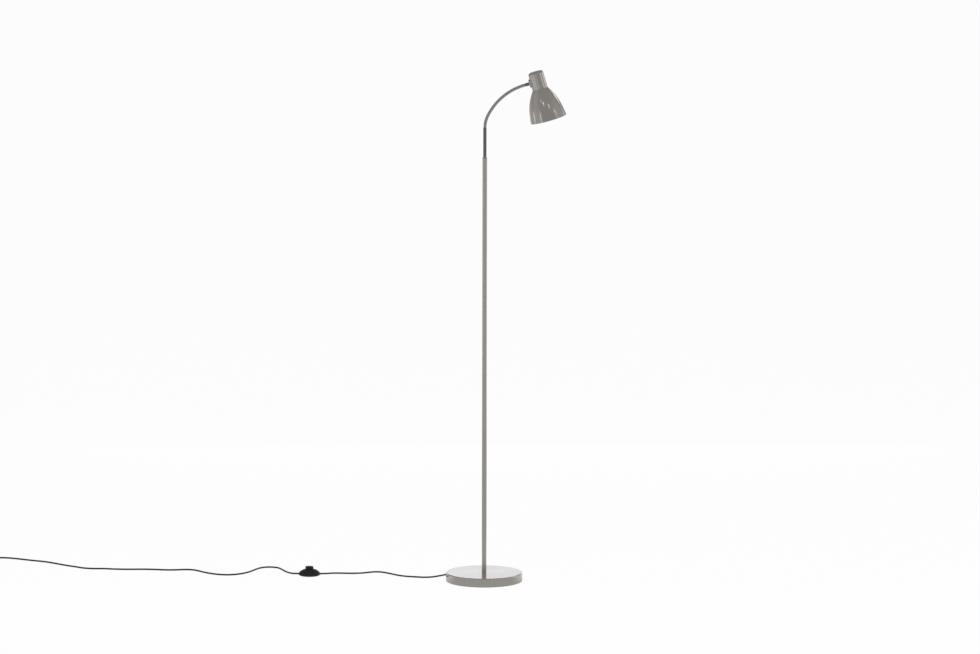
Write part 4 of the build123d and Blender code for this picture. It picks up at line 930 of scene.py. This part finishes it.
@dataclass
class SupplyLead(Part):
    """The free lead, its put-away coil, and the finish of what is on it.

    Places, heights and runs are in millimetres. A point without a height is on the floor.

    Attributes:
        floor: Height of the lead's centre on the floor.
        exit_bearing: The way it leaves the base, in degrees from +X.
        switch_x: The foot switch's middle, with switch_y.
        terminal_span: Between the ends of the two stretches in the switch.
        coil_overhang: How far its last turn stands out beside the plug.
        coil_climb_inset: How far it draws in as it climbs to the upper turns.
        switch_share: Length of the first stretch, against its control points'.
        plug_share: The same of the second.
    """

    diameter: float = 4.8 * MM
    floor: float = 2.4
    exit_bearing: float = 110.0
    exit_reach: float = 132.0
    exit_height: float = 8.6
    exit_run: float = 22.0
    switch_x: float = -505.5
    switch_y: float = 80.0
    terminal_span: float = 42.0
    seam_height: float = 5.0
    entry_run: float = 26.0
    # fmt: off
    to_switch: tuple[tuple[float, ...], ...] = (
        (-71, 157, 5.5), (-93, 153, 3.0), (-100, 131), (-103, 108), (-111, 82), (-130, 63),
        (-148, 45), (-172, 38), (-197, 45), (-223, 53), (-246, 67), (-264, 88), (-281, 107),
        (-297, 122), (-316, 126), (-334, 117), (-354, 104), (-386, 99), (-417, 103, 2.5),
        (-440, 98, 3.4),
    )
    to_coil: tuple[tuple[float, ...], ...] = (
        (-568, 102, 4.0), (-578, 131, 2.8), (-587, 159), (-597, 185), (-612, 197), (-630, 199),
        (-647, 190), (-659, 171), (-671, 142), (-685, 112), (-706, 86), (-738, 71), (-770, 78),
        (-798, 98), (-819, 122), (-839, 149), (-865, 158), (-893, 150), (-922, 148),
        (-954, 156), (-990, 160), (-1030, 157), (-1070, 159), (-1103, 169), (-1136, 167),
        (-1164, 175), (-1189, 197), (-1220, 220), (-1250, 250), (-1283, 279), (-1322, 297),
        (-1358, 320), (-1395, 336, 3.0),
    )
    # fmt: on
    coil_centre: Pair = (-1466.0, 304.0)
    coil_radius: float = 30.0
    coil_step: float = 5.5
    coil_low: float = 3.8
    coil_overhang: float = 5.0
    coil_climb_inset: float = 0.6
    coil_entry_run: float = 30.0
    plug_height: float = 7.0
    points_per_quarter: int = 4
    switch_share: float = 0.975
    plug_share: float = 0.985
    spring_diameter: float = 12.9 * MM
    spring_wire: float = 0.9 * MM
    spring_turns: float = 4.0
    spring_sides: int = 8
    button_travel: float = 3.5 * MM

    def build(self) -> None:
        """Lay both stretches and dress the pieces on them."""
        jacket = Moulding(
            "lead_jacket", grey(0.012), grey(0.02), (0.42, 0.55), 1500.0, 0.00002, dust=0.03
        )
        black = self.dress(jacket, "inner_lead", "cord_bushing")
        for stretch in Stretch:
            self.lay(stretch, black)
        shell = Moulding(
            "switch_black", grey(0.008), grey(0.016), (0.45, 0.58), dust=0.02, shine=0.3
        )
        self.dress(shell, "switch_base", "switch_cover", "switch_button")
        grip = Moulding("plug_black", (0.016, 0.016, 0.017), grey(0.035), (0.4, 0.55), 1800.0)
        self.dress(grip, "plug_body", "pin_sleeves", "cord_tie", "cord_clamps")
        bright = TurnedMetal("bright_steel", grey(0.60), grey(0.5), (0.2, 0.3))
        self.return_spring(self.dress(bright, "switch_spring", "switch_screws"))
        brass = TurnedMetal("pin_brass", (0.70, 0.62, 0.45), (0.6, 0.52, 0.36), (0.18, 0.3))
        self.dress(brass, "plug_pins", "switch_contacts")

    def return_spring(self, steel: Material) -> None:
        """Wind the foot switch's spring at rest; the real spring shortens as the button goes down.

        Args:
            steel: Its finish.
        """
        low, high = (Vector(corner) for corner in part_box("switch_spring"))
        tall = high.z - low.z
        values = {
            "Length": tall - self.spring_wire,
            "Turns": self.spring_turns,
            "Coil Radius": (self.spring_diameter - self.spring_wire) / 2,
            "Wire Radius": self.spring_wire / 2,
        }
        inputs = (*values, "Material")
        graph, given, result = new_tree("spring", GEOMETRY, inputs, ("Geometry",))
        wire = wound_wire(graph, *(given[name] for name in values), self.spring_sides)
        close_tree(graph, given, result, wire)
        mesh = grown(graph.tree, {**values, "Material": steel})
        foot = Vector(((low.x + high.x) / 2, (low.y + high.y) / 2, low.z))
        mesh.transform(Matrix.Translation(foot + Vector((0.0, 0.0, self.spring_wire / 2))))
        piece = placed("return_spring", mesh, steel)
        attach(piece, "stand")
        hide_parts("switch_spring")
        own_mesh(piece)

    def way_out(self) -> Vector:
        """The way the lead leaves the base."""
        bearing = math.radians(self.exit_bearing)
        return Vector((math.cos(bearing), math.sin(bearing), 0.0))

    def points(self, route: Iterable[tuple[float, ...]]) -> list[Vector]:
        """The points of a route, each with its height."""
        return [Vector((*point, self.floor)[:3]) for point in route]

    def terminal(self, side: int) -> tuple[Vector, Vector]:
        """Find a stretch's end in the switch, and where it has left it.

        Args:
            side: 1 for the +X side, -1 for the other.

        Returns:
            The end, and the end of the straight run out of the switch.
        """
        reach = self.switch_x + side * self.terminal_span / 2
        end = Vector((reach, self.switch_y, self.seam_height))
        return end, end + Vector((side * self.entry_run, 0.0, 0.0))

    def route(self, stretch: Stretch) -> list[Vector]:
        """Lay out one stretch's centre line: base to switch, or switch through coil to plug.

        Args:
            stretch: Which stretch this is.

        Returns:
            The control points.
        """
        if stretch is Stretch.TO_SWITCH:
            start = self.way_out() * self.exit_reach + Vector((0.0, 0.0, self.exit_height))
            leave = start + self.way_out() * self.exit_run
            end, entry = self.terminal(1)
            return [start, leave, *self.points(self.to_switch), entry, end]
        coil = self.coil()
        arrive = coil[0] + Vector((self.coil_entry_run, 0.0, 0.0))
        return [*self.terminal(-1), *self.points(self.to_coil), arrive, *coil]

    def coil(self) -> list[Vector]:
        """Lay out the put-away coil: inwards below, then outwards above, ending at the plug.

        Returns:
            The control points.
        """
        radius, step = self.coil_radius, self.coil_step
        high, inner = self.coil_low + step, radius - step * 1.5
        stations = [(radius - step * index / 4, self.coil_low) for index in range(7)]
        stations.append((inner - self.coil_climb_inset, (self.coil_low + high) / 2))
        stations += [(inner + step * index / 4, high) for index in range(4)]
        stations += [(radius, high), (radius + self.coil_overhang, self.plug_height)]
        steps = (len(stations) - 1) * self.points_per_quarter
        widen = 1 / math.cos(math.pi / 4 / self.points_per_quarter)
        centre = Vector((*self.coil_centre, 0.0))
        turns = []
        for step in range(steps + 1):
            before, share = divmod(step / self.points_per_quarter, 1)
            first = stations[int(before)]
            second = stations[min(int(before) + 1, len(stations) - 1)]
            radius = (first[0] + (second[0] - first[0]) * share) * widen
            height = first[1] + (second[1] - first[1]) * share
            angle = math.radians(90 + 90 * step / self.points_per_quarter)
            arm = Vector((radius * math.cos(angle), radius * math.sin(angle), height))
            turns.append(centre + arm)
        start = turns[0] + Vector((self.diameter / MM, 0.0, 0.0))
        end = turns[-1] + Vector((0.0, -self.diameter / MM, 0.0))
        return [start, *turns, end]

    def lay(self, stretch: Stretch, material: Material) -> None:
        """Args:
            stretch: Which stretch this is.
            material: The jacket's finish.
        """
        route = self.route(stretch)
        curve = bpy.data.curves.new(stretch.value, "CURVE")
        curve.dimensions = "3D"
        curve.bevel_depth = self.diameter / 2
        curve.bevel_resolution = 5
        curve.resolution_u = 6
        curve.use_fill_caps = True
        spline = curve.splines.new("NURBS")
        spline.points.add(len(route) - 1)
        for control, point in zip(spline.points, route):
            control.co = (*(point * MM), 1.0)
        spline.order_u = 3
        spline.use_endpoint_u = True
        spline.use_smooth = True
        piece = placed(stretch.value, curve, material)
        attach(piece, "stand")
        self.declare(stretch, piece, route)

    def declare(self, stretch: Stretch, piece: Object, route: Sequence[Vector]) -> None:
        """Work out the stretch's real length, and hide the CAD nodes that it replaces.

        Args:
            stretch: Which stretch this is.
            piece: Its curve; not used.
            route: The control points of its centre line.
        """
        length = sum((after - before).length for before, after in zip(route, route[1:])) * MM
        if stretch is Stretch.TO_SWITCH:
            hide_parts("cord_to_switch")
            length *= self.switch_share
        else:
            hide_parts("cord_to_coil", "cord_coil")
            length *= self.plug_share


# ---- studio
@dataclass(frozen=True)
class Softbox:
    """One rectangular lamp of the studio.

    Attributes:
        bearing: Its bearing from the shade, in degrees from the front towards +X.
        height: Its elevation as seen from the shade, in degrees.
        radiance: How bright its face is, where 1 is white.
        mirrored: Whether polished metal shows it.
    """

    name: str
    bearing: float
    height: float
    distance: float
    size: Pair
    radiance: float
    mirrored: bool = True
    colour: Colour = (1.0, 1.0, 1.0)

    def build(self, middle: Vector) -> None:
        """Set up the lamp.

        Args:
            middle: The point that it faces.
        """
        turn, lift = math.radians(self.bearing), math.radians(self.height)
        flat = math.cos(lift)
        way = Vector((math.sin(turn) * flat, -math.cos(turn) * flat, math.sin(lift)))
        lamp = bpy.data.lights.new(self.name, "AREA")
        lamp.shape = "RECTANGLE"
        lamp.color = self.colour
        lamp.size, lamp.size_y = self.size
        lamp.energy = self.radiance * math.pi * lamp.size * lamp.size_y
        made = shown(self.name, lamp)
        made.location = middle + way * self.distance
        made.rotation_euler = way.to_track_quat("Z", "Y").to_euler()
        made.visible_camera = False
        made.visible_glossy = self.mirrored


@dataclass
class Studio:
    """The camera, the pale floor and the light.

    Attributes:
        side_edges: How far aside, of 1, the front's grey gives way to the sides'.
        lift_edges: How far up, of 1, the lower grey gives way to the higher.
        back_edges: How far back, of 1, the front's greys give way to the back's.
        floor_grey: Grey of the floor where polished metal shows it.
        floor_light_pool: Painted light: a paler glowing patch behind the base that only metal
            shows.
        light_pool_depth: Where that begins and is whole, behind the base's centre.
        light_pool_reach: Where it fades and is gone, from the base's centre.
        floor_glow: Share of plain colour in what the camera and metal see of the floor.
    """

    camera_place: Point = (0.01564, -20.0, 3.718)
    camera_pitch: float = 8.471
    camera_roll: float = 0.11
    lens: float = 259.1
    front: Colour = (0.36, 0.35, 0.335)
    sides: Colour = (0.45, 0.44, 0.43)
    back_low: Colour = (0.45, 0.445, 0.44)
    back_high: Colour = (0.21, 0.205, 0.20)
    side_edges: Pair = (0.55, 0.95)
    lift_edges: Pair = (0.12, 0.36)
    back_edges: Pair = (0.25, 0.75)
    white: Colour = (1.0, 1.0, 1.0)
    floor_grey: Colour = (0.50, 0.49, 0.475)
    # painted light: a paler glow on the floor behind the base, which only metal shows
    floor_light_pool: Colour = (0.84, 0.82, 0.81)
    light_pool_depth: Pair = (-0.06, 0.06)
    light_pool_reach: Pair = (0.4, 0.9)
    floor_size: float = 30.0
    floor_glow: float = 0.96
    floor_drop: float = 0.3 * MM
    middle: Point = (0.18, 0.0, 1.34)
    boxes: tuple[Softbox, ...] = (
        Softbox("key", -28.0, 38.0, 4.6, (2.0, 2.0), 7.5, mirrored=False),
        Softbox("fill", 40.0, 20.0, 4.6, (2.0, 2.0), 3.0, mirrored=False),
        Softbox("back_low", -178.0, -20.0, 2.7, (2.8, 1.0), 0.90, colour=(0.95, 0.96, 1.0)),
        Softbox("right_back", 118.0, -4.6, 3.0, (1.5, 2.2), 0.56),
        Softbox("right_edge", 141.0, 22.0, 3.0, (1.0, 0.55), 1.3),
        Softbox("cap_streak", 71.0, 12.0, 3.0, (0.35, 0.5), 0.95),
        Softbox("left_side", -97.0, -9.5, 3.0, (0.4, 0.28), 1.0),
        Softbox("left_edge", -80.0, -18.5, 3.0, (0.3, 0.45), 0.7),
        Softbox("left_front", -45.5, 0.0, 3.2, (0.25, 0.34), 0.95),
        Softbox("low_left", -45.0, -14.0, 3.0, (0.3, 0.5), 0.6),
        Softbox("upper_left", -14.0, 30.0, 3.2, (0.3, 0.36), 1.5),
        Softbox("upper_far_left", -31.0, 33.0, 3.2, (0.14, 0.3), 1.1),
        Softbox("upper_right", 23.5, 30.0, 3.2, (0.22, 0.34), 1.6),
        Softbox("right_front", 55.0, 24.0, 3.2, (0.75, 0.14), 0.7),
    )

    def build(self) -> None:
        """Set up the camera, the world, the floor and the lamps."""
        self.camera()
        self.world()
        self.floor()
        for box in self.boxes:
            box.build(Vector(self.middle))
        bpy.context.scene.view_settings.view_transform = "Standard"

    def camera(self) -> None:
        """Place the camera at the photograph's viewing angle."""
        camera = bpy.data.cameras.new("camera")
        camera.lens = self.lens
        camera.sensor_width = 36.0
        camera.clip_end = 100.0
        made = shown("camera", camera)
        pitch = Matrix.Rotation(math.radians(90.0 - self.camera_pitch), 4, "X")
        roll = Matrix.Rotation(math.radians(self.camera_roll), 4, "Z")
        made.matrix_world = Matrix.Translation(self.camera_place) @ pitch @ roll
        bpy.context.scene.camera = made

    def world(self) -> None:
        """Build a grey room, darker behind and overhead, that the camera sees white."""
        world = bpy.data.worlds.new("studio")
        world.use_nodes = True
        graph = Graph(world.node_tree)
        way = graph.node("ShaderNodeTexCoord").outputs["Generated"]
        aside, back, up = graph.node("ShaderNodeSeparateXYZ", {0: way}).outputs
        beside = graph.ramp(graph.maths("ABSOLUTE", aside), self.side_edges)
        ahead = graph.blend(beside, rgba(self.front), rgba(self.sides))
        lift = graph.ramp(up, self.lift_edges)
        behind = graph.blend(lift, rgba(self.back_low), rgba(self.back_high))
        room = graph.blend(graph.ramp(back, self.back_edges), ahead, behind)
        seen = graph.node("ShaderNodeLightPath").outputs["Is Camera Ray"]
        colour = graph.blend(seen, room, rgba(self.white))
        graph.feed(graph.tree.nodes["Background"].inputs["Color"], colour)
        bpy.context.scene.world = world

    def floor(self) -> None:
        """Lay a wide pale floor."""
        body = bmesh.new()
        bmesh.ops.create_grid(body, x_segments=1, y_segments=1, size=self.floor_size)
        mesh = bpy.data.meshes.new("floor")
        body.to_mesh(mesh)
        body.free()
        mesh.transform(Matrix.Translation((0.0, 0.0, -self.floor_drop)))
        placed("floor", mesh, self.floor_material())

    def floor_material(self) -> Material:
        """Build a finish that is white to the camera, grey to metal and clear from below, with
        painted light: a paler glowing patch behind the base that only metal shows.

        Returns:
            The material.
        """
        surface = Surface("pale_floor")
        path = surface.node("ShaderNodeLightPath").outputs
        seen, mirrored = path["Is Camera Ray"], path["Is Glossy Ray"]
        # painted light: a paler patch of floor behind the base, which only metal shows, brightens
        # the base's top
        depth = surface.node("ShaderNodeSeparateXYZ", {0: surface.place}).outputs[1]
        reach = surface.vector("LENGTH", surface.place).outputs["Value"]
        fading = surface.ramp(reach, self.light_pool_reach, (1.0, 0.0))
        light_pool = surface.maths("MULTIPLY", surface.ramp(depth, self.light_pool_depth), fading)
        dull = surface.blend(light_pool, rgba(self.floor_grey), rgba(self.floor_light_pool))
        colour = surface.blend(mirrored, rgba(self.white), dull)
        surface.set(Base_Color=colour, Roughness=0.7, Specular_IOR_Level=0.0)
        glow = surface.node("ShaderNodeEmission", {"Color": colour, "Strength": 1.0}).outputs[0]
        plain = surface.maths("MAXIMUM", seen, mirrored)
        share = surface.maths("MULTIPLY", plain, self.floor_glow)
        above = {0: share, 1: surface.bsdf.outputs[0], 2: glow}
        mixed = surface.node("ShaderNodeMixShader", above).outputs[0]
        under = surface.node("ShaderNodeNewGeometry").outputs["Backfacing"]
        clear = surface.node("ShaderNodeBsdfTransparent").outputs[0]
        one_sided = surface.node("ShaderNodeMixShader", {0: under, 1: mixed, 2: clear})
        surface.feed(surface.tree.nodes["Material Output"].inputs[0], one_sided.outputs[0])
        return surface.material


def main() -> None:
    """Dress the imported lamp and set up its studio."""
    logging.basicConfig(level=logging.INFO, format="%(name)s %(message)s")
    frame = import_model()
    Studio().build()
    for part in (StandParts(frame), Gooseneck(frame), LampHead(frame), SupplyLead(frame)):
        LOG.info("building %s", type(part).__name__)
        part.build()


if __name__ == "__main__":
    main()
